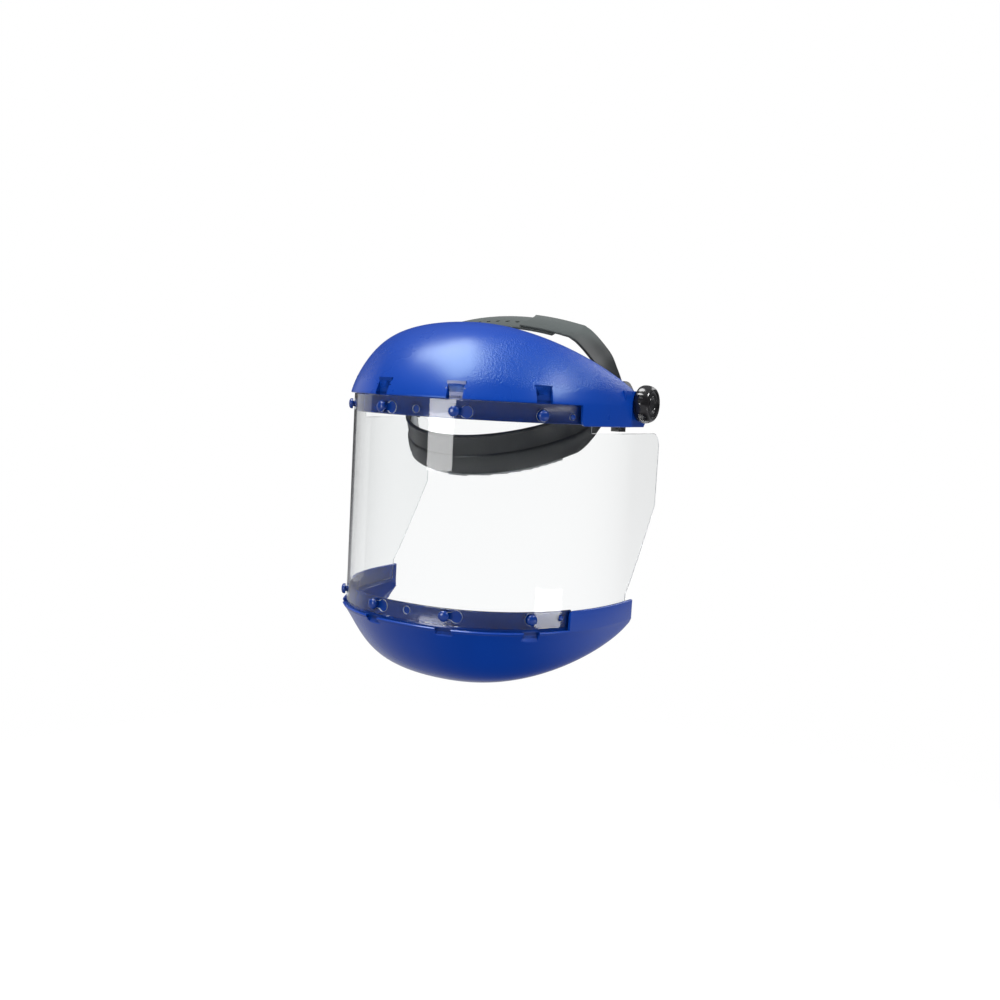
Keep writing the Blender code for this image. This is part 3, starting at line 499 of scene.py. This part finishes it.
def keyhole():
    """Small slot end at the origin that opens into a big circle one step along."""
    slot, big, step = 2.8, 4.6, 8.7
    near = np.linspace(np.pi / 2, 3 * np.pi / 2, 14)
    spread = math.asin(slot / big)
    far = np.linspace(-np.pi + spread, np.pi - spread, 30)
    return np.concatenate((np.stack((slot * np.cos(near), slot * np.sin(near)), 1),
                           np.stack((step + big * np.cos(far), big * np.sin(far)), 1)))


def frost_edges(sheet, frosted):
    """Give the cut edges of the sheet their own finish: faces that look away from the plan
    curve's nearest normal."""
    mesh = sheet.data
    count = len(mesh.polygons)
    normal, centre = np.zeros(count * 3), np.zeros(count * 3)
    mesh.polygons.foreach_get("normal", normal)
    mesh.polygons.foreach_get("center", centre)
    normal, centre = normal.reshape(-1, 3), centre.reshape(-1, 3) / MM
    gap = np.hypot(np.abs(centre[:, :1]) - PLAN[1][None, :], centre[:, 1:2] - PLAN[2][None, :])
    arc = PLAN[0][np.argmin(gap, axis=1)] * np.sign(centre[:, 0])
    flat = np.abs(np.sum(normal * on_plan(arc)[1], axis=1))
    mesh.materials.append(frosted)
    mesh.polygons.foreach_set("material_index", (flat < 0.6).astype(np.int32))


def make_window(clear, frosted):
    """Bent sheet: a rounded-edge strip section between the two heights at each arc length."""
    corner = WINDOW_HALF - EAR_CORNER * (1 - np.sin(np.linspace(0, np.pi / 2, 9)))
    marks = [s * p for s in (-1, 1) for p in (EAR_STEP, EAR_STEP + 0.3, TAIL_HALF, TAIL_HALF + 0.3,
                                              *corner[:-1])]
    arc = columns(WINDOW_HALF, 2.4, marks)
    low, high = window_heights(arc)
    soft = 0.25
    rings = [on_plan(arc, proud)[0] + up(z) for proud, z in (
        (0.0, low + soft), (0.0, high - soft), (-soft, high), (soft - WINDOW_WALL, high),
        (-WINDOW_WALL, high - soft), (-WINDOW_WALL, low + soft), (soft - WINDOW_WALL, low), (-soft, low))]
    cuts = []
    for z in (CROWN_POST_Z, CHIN_POST_Z):
        cuts += [prism(keyhole(), -5.0, 4.0, plan_frame(a, z)) for a in KEYHOLE_ARCS]
        cuts += [prism(disc(4.6), -5.0, 4.0, plan_frame(a, z)) for a in ROUND_HOLE_ARCS]
        cuts += [prism(disc(3.0, 20), -4.0, 4.0, plan_frame(0.0, z))]
        cuts += [prism(disc(2.6, 16), -4.0, 4.0, plan_frame(a, z)) for a in PIN_ARCS]
    sheet = new_piece("window_sheet", [skin(np.stack(rings, 1))], clear, "shield", cuts,
                      replaces=("window",))
    frost_edges(sheet, frosted)


# ---------------------------------------------------------------- headband and straps

def bolt_holes(sides=(-1, 1)):
    return [prism(disc(BOLT_HOLE_R), 78.0, 102.0, side_frame(side)) for side in sides]


def make_headband(grey):
    """Band with a proud lower ridge and a set-back upper half, swept round the brow ellipse and
    flared to a narrow tab at each pivot."""
    angle = np.linspace(0, math.radians(64), 46)
    x = BAND_HALF_WIDTH * np.sin(angle)
    y = -BAND_HALF_LENGTH * np.cos(angle)
    back = np.append(np.linspace(-39, -12, 22), (-6.0, 0.0, 7.0, 14.0))
    wide = BAND_HALF_WIDTH * np.sqrt(1 - (np.minimum(back, 0.0) / BAND_HALF_LENGTH) ** 2)
    flare = wide + (BAND_END - wide) * ramp((back + 42.0) / 28.0)
    x, y = np.append(x, flare), np.append(y, back)
    path = np.stack((np.append(-x[:0:-1], x), np.append(y[:0:-1], y)), 1)
    out = path_normals(path)
    end = ramp((path[:, 1] + 40.0) / 26.0)[:, None]
    low = BAND_LOW + (TAB_LOW - BAND_LOW) * end
    top = BAND_HIGH + (TAB_HIGH - BAND_HIGH) * end
    ridge = RIDGE * (1 - end)
    split = (low + top) / 2
    wall = -BAND_WALL + 0 * end
    tall = split - low
    proud = np.hstack((wall, wall + 0.6, 0.3 * ridge - 0.7, 0.45 * ridge, 0.85 * ridge, 1.2 * ridge,
                       1.35 * ridge,
                       1.3 * ridge, 1.1 * ridge, 0.7 * ridge, 0.1 * ridge, 0 * ridge, 0 * ridge, 0.5 * ridge,
                       0.5 * ridge, 0 * ridge, 0 * ridge - 0.6, wall + 0.6, wall))
    z = np.hstack((low + 0.6, low, low, low + 0.05 * tall, low + 0.2 * tall, low + 0.4 * tall,
                   low + 0.6 * tall,
                   low + 0.78 * tall, low + 0.9 * tall, split - 0.5, split, split + 0.3, top - 2.6,
                   top - 2.0, top - 1.0,
                   top - 0.5, top, top, top - 0.6))
    spots = path[:, None, :] + proud[..., None] * out[:, None, :]
    rings = lean(np.concatenate((spots, z[..., None]), axis=2))
    return new_piece("brow_band", [skin(rings)], grey, "headgear", bolt_holes(),
                     replaces=("headband",))


def strap_part(end, drop, side):
    """Half of the top strap: its edge line climbs from the pivot over a fold and follows the
    head's parabola, with a shallow trough between two border ribs."""
    fold_x, fold_z = STRAP_FOLD
    leg = [(STRAP_FOOT, -14.0), (STRAP_FOOT, -4.0), (STRAP_FOOT, 9.5), (STRAP_FOOT - 0.8, 15.0),
           (STRAP_FOOT - 2.6, 22.0), (STRAP_FOOT - 6.6, 33.0), (fold_x + 12.4, 44.0), (fold_x + 5.0, 52.0),
           (fold_x + 0.6, fold_z - 0.8), (fold_x - 1.4, fold_z + 0.5)]
    steps = np.linspace(fold_x - 6.0, end, 14)
    top = np.stack((steps, STRAP_APEX - (STRAP_APEX - fold_z) * (steps / fold_x) ** 2), 1)
    line = curve_through(np.concatenate((leg, top)), 6)
    line[:, 1] -= drop * ramp((line[:, 1] - 40.0) / 12.0)
    out = path_normals(line)
    z = line[:, 1]
    half = (STRAP_HALF + 3.5 * ramp((30.0 - z) / 30.0)) * np.where(z < 0, 1 - 0.25 * ramp(-z / 14.0), 1.0)
    shift = STRAP_Y * ramp(z / 50.0)
    across = np.array((-1.0, -0.975, -0.86, -0.80, 0.0, 0.80, 0.86, 0.975, 1.0, 1.0, 0.975, -0.975, -1.0))
    depth = np.array((0.5, 0.0, 0.0, 0.45, 0.45, 0.45, 0.0, 0.0, 0.5, 1.6, 2.0, 2.0, 1.6))
    spots = line[:, None, :] - depth[None, :, None] * out[:, None, :]
    y = shift[:, None] + half[:, None] * across[None, :]
    return skin(lean(np.stack((side * spots[..., 0], y, spots[..., 1]), -1)))


def strap_frame(x):
    """Frame standing on the top strap, outward axis up through it."""
    height = STRAP_APEX - (STRAP_APEX - STRAP_FOLD[1]) * (x / STRAP_FOLD[0]) ** 2
    turned_axes = lean(np.eye(3))
    origin = lean(np.array((x, STRAP_Y, height)))
    return origin, turned_axes[0], turned_axes[1], turned_axes[2]


def make_top_straps(grey):
    peg = turned(((1.5, -5.6), (2.0, -5.0), (1.6, -4.0), (1.6, -1.0)), strap_frame(PEG_X), 16)
    new_piece("head_strap_left", [strap_part(22.0, 0.0, 1), peg], grey, "headgear",
              bolt_holes((1,)), replaces=("top_strap_left",))
    holes = [prism(disc(1.9, 20), -12.0, 8.0, strap_frame(x)) for x in (-24.0, -15.0, -6.0, 3.0, 12.0)]
    holes.append(prism(disc(2.6, 20), -12.0, 8.0, strap_frame(PEG_X)))
    new_piece("head_strap_right", [strap_part(-50.0, STRAP_WALL + 0.4, -1)], grey, "headgear",
              bolt_holes((-1,)) + holes, replaces=("top_strap_right",))


def rear_strap_part(side, proud):
    """Flexible strap: straight past the pivot plate, eased into the rear ellipse, then level
    round the back of the head."""
    y = np.append(-12.0, np.linspace(-6.0, 50.0, 24))
    inner = BAND_HALF_WIDTH * np.sqrt(1 - (y / BAND_HALF_LENGTH) ** 2)
    x = inner + (REAR_LINE - inner) * (1 - ramp((y - 10.0) / 40.0))
    angle = np.linspace(math.radians(58), math.radians(-24), 50)
    x = np.append(x, BAND_HALF_WIDTH * np.sin(angle))
    y = np.append(y, BAND_HALF_LENGTH * np.cos(angle))
    path = np.stack((x, y), 1)
    out = path_normals(path)
    path = path + out * (proud * ramp((y - 30.0) / 40.0))[:, None]
    centre = REAR_Z * ramp((y - 5.0) / 40.0)
    depth = np.array((0.0, 0.0, 0.5, REAR_WALL - 0.4, REAR_WALL, REAR_WALL, REAR_WALL - 0.4, 0.5))
    height = np.array((-REAR_HALF + 0.5, REAR_HALF - 0.5, REAR_HALF, REAR_HALF, REAR_HALF - 0.4,
                       0.4 - REAR_HALF,
                       -REAR_HALF, -REAR_HALF))
    spots = path[:, None, :] - depth[None, :, None] * out[:, None, :]
    z = centre[:, None] + height[None, :]
    return skin(np.stack((side * spots[..., 0], spots[..., 1], z), -1))


def make_rear_straps(grey):
    slot = block((-22.0, REAR_Z - 5.0, 0.0), (22.0, REAR_Z + 5.0, 110.0),
                 (np.zeros(3), np.array((1.0, 0, 0)), np.array((0, 0, 1.0)), np.array((0, 1.0, 0))))
    for name, side, proud in (("left", 1, 3.8), ("right", -1, 1.2)):
        strap = new_piece(f"nape_strap_{name}", [rear_strap_part(side, proud)], grey, None,
                          bolt_holes((side,)) + [slot], replaces=(f"rear_strap_{name}",))
        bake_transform(strap)


# ---------------------------------------------------------------- knobs

def knob_part(profile, radius, lobes, depth, axes, segments):
    """Turned knob whose grip swells in lobes: the radius grows by a cosine of the angle, most at
    mid height and not at all on the face."""
    height = np.array(profile)[:, 1]
    low, high = height.min(), height.max()

    def swell(angle, at):
        t = np.clip((at - low) / (high - low), 0, 1)
        return 1 + depth * np.sin(np.pi * np.clip(1.15 * t, 0, 1)) * np.cos(lobes * angle)

    return turned([(radius * share, at) for share, at in profile], axes, segments, lobes=swell)


def make_pivot_knobs(black):
    face = KNOB_OUT
    for name, side in (("left", 1), ("right", -1)):
        axes = side_frame(side)
        grip = ((0.84, KNOB_IN), (0.93, KNOB_IN + 0.3), (0.97, KNOB_IN + 0.9), (0.995, KNOB_IN + 2.0),
                (1.0, KNOB_IN + 4.0), (0.995, KNOB_IN + 6.2), (0.975, KNOB_IN + 8.0), (0.94, KNOB_IN + 9.4),
                (0.89, KNOB_IN + 10.5), (0.83, face - 0.25), (0.78, face), (0.735, face - 0.15),
                (0.715, face - 0.6),
                (0.705, face - 1.3), (0.66, face - 1.6), (0.50, face - 1.6), (0.46, face - 1.45),
                (0.44, face - 0.9),
                (0.41, face - 0.7), (0.37, face - 0.75), (0.35, face - 1.2), (0.32, face - 1.4),
                (0.15, face - 1.3),
                (0.01, face - 1.25))
        cuts = [prism(disc(8.6, 40), KNOB_IN - 1.0, KNOB_IN + 2.1, axes),
                prism(disc(NUT_R + 0.35, 6), KNOB_IN + 1.0, KNOB_IN + 8.7, axes)]
        new_piece(f"tilt_knob_{name}", [knob_part(grip, KNOB_R, 12, 0.024, axes, 144)], black,
                  f"knob_{name}", cuts, 40.0, replaces=(f"pivot_knob_{name}",))


def make_ratchet_knob(black):
    y = RATCHET_Y + 11.0
    grip = ((0.84, y), (0.95, y + 0.5), (0.985, y + 1.4), (1.0, y + 3.5), (1.0, y + 7.0), (0.98, y + 9.0),
            (0.93, y + 10.6), (0.86, y + 11.6), (0.78, y + 12.0), (0.72, y + 11.9), (0.69, y + 11.4),
            (0.66, y + 10.9),
            (0.30, y + 10.4), (0.26, y + 10.8), (0.20, y + 11.0), (0.01, y + 11.05))
    new_piece("fit_knob", [knob_part(grip, RATCHET_R, 16, 0.02, back_frame(), 160)], black,
              "ratchet_drive", [prism(disc(4.3), RATCHET_Y + 9, RATCHET_Y + 13, back_frame())], 40.0,
              replaces=("ratchet_knob",))


# ---------------------------------------------------------------- pads

def stuffed_pad(name, node, foam, body, cap):
    """Pad puffed by a short cloth run from its plain solid; no point moves further than the cap."""
    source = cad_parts[node]
    obj = bpy.data.objects.new(name, source.data.copy())
    bpy.context.scene.collection.objects.link(obj)
    remesh = obj.modifiers.new("even mesh", "REMESH")
    remesh.mode = "VOXEL"
    remesh.voxel_size = 2.0 * MM
    take_mesh(obj)
    count = len(obj.data.vertices)
    before = np.zeros(count * 3)
    obj.data.vertices.foreach_get("co", before)
    cloth = obj.modifiers.new("puff", "CLOTH")
    settings = cloth.settings
    settings.quality = 6
    settings.mass = 0.2
    settings.use_pressure = True
    settings.uniform_pressure_force = 4.0
    settings.effector_weights.gravity = 0.0
    scene = bpy.context.scene
    for step in range(1, 21):
        scene.frame_set(step)
    graph = bpy.context.evaluated_depsgraph_get()
    after = np.zeros(count * 3)
    obj.evaluated_get(graph).data.vertices.foreach_get("co", after)
    obj.modifiers.clear()
    scene.frame_set(1)
    move = (after - before).reshape(-1, 3)
    size = np.linalg.norm(move, axis=1, keepdims=True)
    before += (move * np.minimum(1.0, cap * MM / np.maximum(size, 1e-9))).reshape(-1)
    obj.data.vertices.foreach_set("co", before)
    obj.data.materials.clear()
    obj.data.materials.append(foam)
    obj.data.shade_smooth()
    subdivide = obj.modifiers.new("subdivide", "SUBSURF")
    subdivide.levels = subdivide.render_levels = 1
    take_mesh(obj)
    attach(obj, body)
    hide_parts(node)
    return obj


# ---------------------------------------------------------------- finishes

def finish(name, colour, roughness, metallic=0.0, coat=0.0):
    """Material with its shader and its links, ready for detail."""
    mat = bpy.data.materials.new(name)
    mat.use_nodes = True
    tree = mat.node_tree
    shader = tree.nodes["Principled BSDF"]
    shader.inputs["Base Color"].default_value = (*colour, 1.0)
    shader.inputs["Roughness"].default_value = roughness
    shader.inputs["Metallic"].default_value = metallic
    shader.inputs["Coat Weight"].default_value = coat
    shader.inputs["Coat Roughness"].default_value = 0.06
    return mat, tree, shader


def node(tree, kind, **values):
    made = tree.nodes.new(kind)
    for key, value in values.items():
        if key in made.inputs:
            made.inputs[key].default_value = value
        else:
            setattr(made, key, value)
    return made


def mottled(tree, shader, colour, change, scale, roughness, rough_change):
    """Slow drift of colour and gloss over the surface from soft noise."""
    place = node(tree, "ShaderNodeTexCoord")
    noise = node(tree, "ShaderNodeTexNoise", Scale=scale, Detail=4.0, Roughness=0.55)
    tree.links.new(place.outputs["Object"], noise.inputs["Vector"])
    tint = node(tree, "ShaderNodeValToRGB")
    tint.color_ramp.elements[0].position = 0.3
    tint.color_ramp.elements[1].position = 0.7
    tint.color_ramp.elements[0].color = (*(c * (1 - change) for c in colour), 1.0)
    tint.color_ramp.elements[1].color = (*(min(c * (1 + change), 1.0) for c in colour), 1.0)
    gloss = node(tree, "ShaderNodeMapRange")
    gloss.inputs["To Min"].default_value = roughness - rough_change
    gloss.inputs["To Max"].default_value = roughness + rough_change
    tree.links.new(noise.outputs["Fac"], tint.inputs["Fac"])
    tree.links.new(tint.outputs["Color"], shader.inputs["Base Color"])
    tree.links.new(noise.outputs["Fac"], gloss.inputs["Value"])
    tree.links.new(gloss.outputs["Result"], shader.inputs["Roughness"])
    return place


def pebbled(tree, shader, place, scale, strength, height, mask=None):
    """Fine moulded grain: rounded cells mixed with noise, raised as bump."""
    cells = node(tree, "ShaderNodeTexVoronoi", feature="SMOOTH_F1", Scale=scale, Smoothness=0.6)
    fine = node(tree, "ShaderNodeTexNoise", Scale=scale * 1.7, Detail=2.0)
    for texture in (cells, fine):
        tree.links.new(place.outputs["Object"], texture.inputs["Vector"])
    mix = node(tree, "ShaderNodeMath", operation="ADD")
    tree.links.new(cells.outputs["Distance"], mix.inputs[0])
    tree.links.new(fine.outputs["Fac"], mix.inputs[1])
    level = mix.outputs[0]
    if mask:
        times = node(tree, "ShaderNodeMath", operation="MULTIPLY")
        tree.links.new(level, times.inputs[0])
        tree.links.new(mask, times.inputs[1])
        level = times.outputs[0]
    bump = node(tree, "ShaderNodeBump", Strength=strength, Distance=height)
    tree.links.new(level, bump.inputs["Height"])
    tree.links.new(bump.outputs["Normal"], shader.inputs["Normal"])


def grained_sides(tree, place):
    """Mask of the moulded grain: it fades in away from the middle of the front and above the
    smooth lower band."""
    split = node(tree, "ShaderNodeSeparateXYZ")
    tree.links.new(place.outputs["Object"], split.inputs[0])
    side = node(tree, "ShaderNodeMath", operation="ABSOLUTE")
    tree.links.new(split.outputs["X"], side.inputs[0])
    share = []
    for source, low, high in ((side.outputs[0], 0.022, 0.062), (split.outputs["Z"], 0.003, 0.014)):
        grow = node(tree, "ShaderNodeMapRange", interpolation_type="SMOOTHSTEP")
        grow.inputs["From Min"].default_value = low
        grow.inputs["From Max"].default_value = high
        tree.links.new(source, grow.inputs["Value"])
        share.append(grow.outputs["Result"])
    both = node(tree, "ShaderNodeMath", operation="MULTIPLY")
    for k in (0, 1):
        tree.links.new(share[k], both.inputs[k])
    return both.outputs[0]


def painted_top_light(tree, shader, place, low, high, dark, light):
    """Colour that grows lighter with height: painted light on the up-facing top of the head strap and painted
    shade on its sideways legs.
    """
    split = node(tree, "ShaderNodeSeparateXYZ")
    tree.links.new(place.outputs["Object"], split.inputs[0])
    grow = node(tree, "ShaderNodeMapRange", interpolation_type="SMOOTHSTEP")
    grow.inputs["From Min"].default_value = low
    grow.inputs["From Max"].default_value = high
    tint = node(tree, "ShaderNodeValToRGB")
    tint.color_ramp.elements[0].color = (*dark, 1.0)
    tint.color_ramp.elements[1].color = (*light, 1.0)
    tree.links.new(split.outputs["Z"], grow.inputs["Value"])
    tree.links.new(grow.outputs["Result"], tint.inputs["Fac"])
    tree.links.new(tint.outputs["Color"], shader.inputs["Base Color"])


def make_finishes():
    made = {}

    blue = (0.001, 0.043, 0.330)
    mat, tree, shader = finish("crown blue", blue, 0.28, coat=0.2)
    shader.inputs["Coat Roughness"].default_value = 0.28
    shader.inputs["Specular Tint"].default_value = (0.55, 0.85, 1.0, 1.0)
    place = mottled(tree, shader, blue, 0.06, 14.0, 0.28, 0.03)
    pebbled(tree, shader, place, 760.0, 0.75, 0.0004, grained_sides(tree, place))
    made["crown"] = mat

    mat, tree, shader = finish("chin blue", blue, 0.26, coat=0.3)
    shader.inputs["Specular Tint"].default_value = (0.75, 0.9, 1.0, 1.0)
    place = mottled(tree, shader, blue, 0.06, 14.0, 0.26, 0.03)
    pebbled(tree, shader, place, 900.0, 0.10, 0.00012)
    made["chin"] = mat

    # Painted shade: a darker copy of the shield blue, used on the rim, posts and notch pockets that sit
    # recessed behind the window.
    recess_shade_blue = (0.001, 0.030, 0.210)
    mat, tree, shader = finish("rim blue painted shade", recess_shade_blue, 0.22, coat=0.3)
    place = mottled(tree, shader, recess_shade_blue, 0.05, 20.0, 0.22, 0.02)
    made["rim"] = mat

    mat, tree, shader = finish("clear sheet", (0.99, 1.0, 1.0), 0.015)
    shader.inputs["Transmission Weight"].default_value = 1.0
    shader.inputs["IOR"].default_value = 1.38
    place = node(tree, "ShaderNodeTexCoord")
    swirl = node(tree, "ShaderNodeTexNoise", Scale=9.0, Detail=3.0)
    haze = node(tree, "ShaderNodeMapRange")
    haze.inputs["To Min"].default_value = 0.0
    haze.inputs["To Max"].default_value = 0.04
    tree.links.new(place.outputs["Object"], swirl.inputs["Vector"])
    tree.links.new(swirl.outputs["Fac"], haze.inputs["Value"])
    tree.links.new(haze.outputs["Result"], shader.inputs["Roughness"])
    made["clear"] = mat

    mat, tree, shader = finish("cut sheet edge", (0.78, 0.85, 0.88), 0.45)
    shader.inputs["Transmission Weight"].default_value = 0.45
    mottled(tree, shader, (0.78, 0.85, 0.88), 0.05, 200.0, 0.45, 0.08)
    made["edge"] = mat

    for key, label, colour, rough in (("grey", "headgear grey", (0.024, 0.028, 0.029), 0.36),
                                      ("strap", "strap grey with painted top light", (0.050, 0.057, 0.056), 0.50),
                                      ("black", "moulded black", (0.012, 0.012, 0.013), 0.36)):
        mat, tree, shader = finish(label, colour, rough)
        place = mottled(tree, shader, colour, 0.10, 30.0, rough, 0.05)
        pebbled(tree, shader, place, 1500.0, 0.12, 0.00008)
        # The head strap's base colour becomes a height ramp: painted shade low on the legs, painted light on
        # the top.
        if key == "strap":
            painted_top_light(tree, shader, place, 0.040, 0.056, (0.014, 0.017, 0.018), (0.075, 0.088, 0.086))
        made[key] = mat

    mat, tree, shader = finish("knob black", (0.006, 0.006, 0.007), 0.2, coat=0.5)
    mottled(tree, shader, (0.006, 0.006, 0.007), 0.15, 40.0, 0.2, 0.04)
    made["knob"] = mat

    mat, tree, shader = finish("plated steel", (0.62, 0.61, 0.58), 0.27, metallic=1.0)
    place = mottled(tree, shader, (0.62, 0.61, 0.58), 0.08, 60.0, 0.27, 0.08)
    pebbled(tree, shader, place, 2600.0, 0.06, 0.00004)
    made["steel"] = mat

    mat, tree, shader = finish("friction fibre", (0.055, 0.042, 0.034), 0.8)
    place = mottled(tree, shader, (0.055, 0.042, 0.034), 0.25, 300.0, 0.8, 0.05)
    pebbled(tree, shader, place, 2200.0, 0.4, 0.0001)
    made["fibre"] = mat

    mat, tree, shader = finish("pad fabric", (0.50, 0.52, 0.52), 0.85)
    shader.inputs["Sheen Weight"].default_value = 0.3
    place = mottled(tree, shader, (0.50, 0.52, 0.52), 0.10, 90.0, 0.85, 0.05)
    pebbled(tree, shader, place, 1400.0, 0.55, 0.0003)
    made["pad"] = mat

    mat, tree, shader = finish("studio floor", (0.90, 0.90, 0.90), 0.95)
    shader.inputs["Emission Color"].default_value = (1.0, 1.0, 1.0, 1.0)
    shader.inputs["Emission Strength"].default_value = 0.6
    place = node(tree, "ShaderNodeTexCoord")
    reach = node(tree, "ShaderNodeVectorMath", operation="LENGTH")
    fade = node(tree, "ShaderNodeMapRange", interpolation_type="SMOOTHSTEP")
    fade.inputs["From Min"].default_value = 0.60
    fade.inputs["From Max"].default_value = 1.05
    fade.inputs["To Min"].default_value = 1.0
    fade.inputs["To Max"].default_value = 0.0
    tree.links.new(place.outputs["Object"], reach.inputs[0])
    tree.links.new(reach.outputs["Value"], fade.inputs["Value"])
    tree.links.new(fade.outputs["Result"], shader.inputs["Alpha"])
    made["floor"] = mat
    return made


def dress(names, mat):
    for name in names:
        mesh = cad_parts[name].data
        mesh.materials.clear()
        mesh.materials.append(mat)


# ---------------------------------------------------------------- studio

def make_camera():
    """Camera at 0.876 m: yaw to the wearer's left, slightly down, with a small roll."""
    data = bpy.data.cameras.new("camera")
    data.lens = 40.67
    data.sensor_width = 36.0
    camera = bpy.data.objects.new("camera", data)
    bpy.context.scene.collection.objects.link(camera)
    right = Vector((0.85902, 0.50908, 0.05411))
    rise = Vector((-0.09584, 0.05607, 0.99384))
    forward = Vector((-0.50290, 0.85890, -0.09695))
    place = Matrix((right, rise, -forward)).transposed().to_4x4()
    place.translation = Vector((0.4669, -0.8072, 0.0051))
    camera.matrix_world = place
    bpy.context.scene.camera = camera


def soft_light(name, position, target, size, power, mirrored=True):
    data = bpy.data.lights.new(name, "AREA")
    data.shape = "RECTANGLE"
    data.size, data.size_y = size
    data.energy = power
    light = bpy.data.objects.new(name, data)
    light.visible_glossy = light.visible_transmission = mirrored
    light.location = position
    light.rotation_euler = (Vector(target) - Vector(position)).to_track_quat("-Z", "Y").to_euler()
    bpy.context.scene.collection.objects.link(light)


def make_studio(floor_finish):
    """White surround, a pale floor well below, and three large soft lights."""
    scene = bpy.context.scene
    scene.view_settings.view_transform = "Standard"
    world = bpy.data.worlds.new("studio")
    scene.world = world
    world.use_nodes = True
    tree = world.node_tree
    ground = tree.nodes["Background"]
    way = node(tree, "ShaderNodeTexCoord")
    split = node(tree, "ShaderNodeSeparateXYZ")
    sky = node(tree, "ShaderNodeValToRGB")
    rise = node(tree, "ShaderNodeMapRange")
    rise.inputs["From Min"].default_value = -1.0
    sky.color_ramp.elements[0].color = (0.04, 0.04, 0.045, 1.0)
    sky.color_ramp.elements[1].color = (0.42, 0.42, 0.43, 1.0)
    for place, level in ((0.04, 0.08), (0.14, 0.32), (0.25, 0.55), (0.38, 0.45), (0.46, 0.12), (0.50, 0.07),
                         (0.72, 0.09)):
        spot = sky.color_ramp.elements.new(place)
        spot.color = (level, level, level * 1.05, 1.0)
    seen = node(tree, "ShaderNodeLightPath")
    bounced = node(tree, "ShaderNodeMath", operation="ADD")
    straight = node(tree, "ShaderNodeMath", operation="LESS_THAN")
    straight.inputs[1].default_value = 0.5
    white = node(tree, "ShaderNodeMix", data_type="RGBA")
    white.inputs[7].default_value = (1.0, 1.0, 1.0, 1.0)
    tree.links.new(way.outputs["Generated"], split.inputs[0])
    tree.links.new(split.outputs["Z"], rise.inputs["Value"])
    tree.links.new(rise.outputs["Result"], sky.inputs["Fac"])
    tree.links.new(seen.outputs["Diffuse Depth"], bounced.inputs[0])
    tree.links.new(seen.outputs["Glossy Depth"], bounced.inputs[1])
    tree.links.new(bounced.outputs[0], straight.inputs[0])
    tree.links.new(straight.outputs[0], white.inputs[0])
    tree.links.new(sky.outputs["Color"], white.inputs[6])
    tree.links.new(white.outputs[2], ground.inputs["Color"])
    angle = np.linspace(0, 2 * np.pi, 96, endpoint=False)
    radius = np.array((0.5, 300.0, 600.0, 950.0))
    rings = np.stack((radius[:, None] * np.cos(angle), radius[:, None] * np.sin(angle),
                      -520.0 + 0 * radius[:, None] * angle), -1)
    floor = plain_object("floor", [skin(np.concatenate((rings, rings[::-1] - (0.0, 0.0, 4.0))))])
    floor.data.materials.append(floor_finish)
    floor.visible_glossy = floor.visible_diffuse = False
    soft_light("overhead", (-0.39, -0.45, 1.21), (0.026, -0.121, 0.027), (1.0, 0.62), 19.0)
    soft_light("front", (-0.40, -1.57, 0.14), (0.022, -0.135, 0.0), (0.59, 0.62), 9.5)
    soft_light("right", (1.03, 0.02, 0.87), (0.088, -0.090, 0.012), (0.34, 0.34), 8.0)
    soft_light("low right fill", (1.40, -0.50, -0.40), (0.08, -0.08, -0.15), (0.6, 0.4), 4.0, False)
    soft_light("low front fill", (0.70, -1.30, -0.30), (0.02, -0.10, -0.18), (1.0, 0.6), 4.0, False)
    soft_light("rim glint", (1.52, -0.09, -0.43), (0.09, -0.08, -0.16), (0.62, 0.08), 0.9)
    soft_light("left", (-1.40, 0.10, 0.10), (-0.05, -0.12, -0.05), (0.9, 1.0), 1.4)
    soft_light("rear", (0.5, 1.5, 0.9), (0.0, 0.0, 0.0), (1.0, 0.8), 5.0)


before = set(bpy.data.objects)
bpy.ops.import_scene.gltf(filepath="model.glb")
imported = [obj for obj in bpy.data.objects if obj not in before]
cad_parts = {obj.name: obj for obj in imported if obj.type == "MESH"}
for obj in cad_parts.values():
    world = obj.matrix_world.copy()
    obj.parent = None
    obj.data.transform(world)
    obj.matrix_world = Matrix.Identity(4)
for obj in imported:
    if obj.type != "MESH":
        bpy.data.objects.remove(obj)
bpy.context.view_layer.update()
make_camera()
finishes = make_finishes()
dress(("pivot_block_left", "pivot_block_right", "ratchet_housing", "ratchet_cover"), finishes["black"])
dress(("pivot_bolt_left", "pivot_bolt_right", "knob_nut_left", "knob_nut_right", "spring_washer_left",
       "spring_washer_right", "pawl_spring", "ratchet_pinion"), finishes["steel"])
dress(("friction_washer_left", "friction_washer_right"), finishes["fibre"])
make_crown(finishes["crown"], finishes["rim"])
make_chin_guard(finishes["chin"], finishes["rim"])
make_window(finishes["clear"], finishes["edge"])
make_headband(finishes["grey"])
make_top_straps(finishes["strap"])
make_rear_straps(finishes["grey"])
make_pivot_knobs(finishes["knob"])
make_ratchet_knob(finishes["knob"])
stuffed_pad("brow_pad", "sweatband", finishes["pad"], "headgear", 0.35)
stuffed_pad("nape_cushion", "nape_pad", finishes["pad"], "ratchet", 0.35)
make_studio(finishes["floor"])
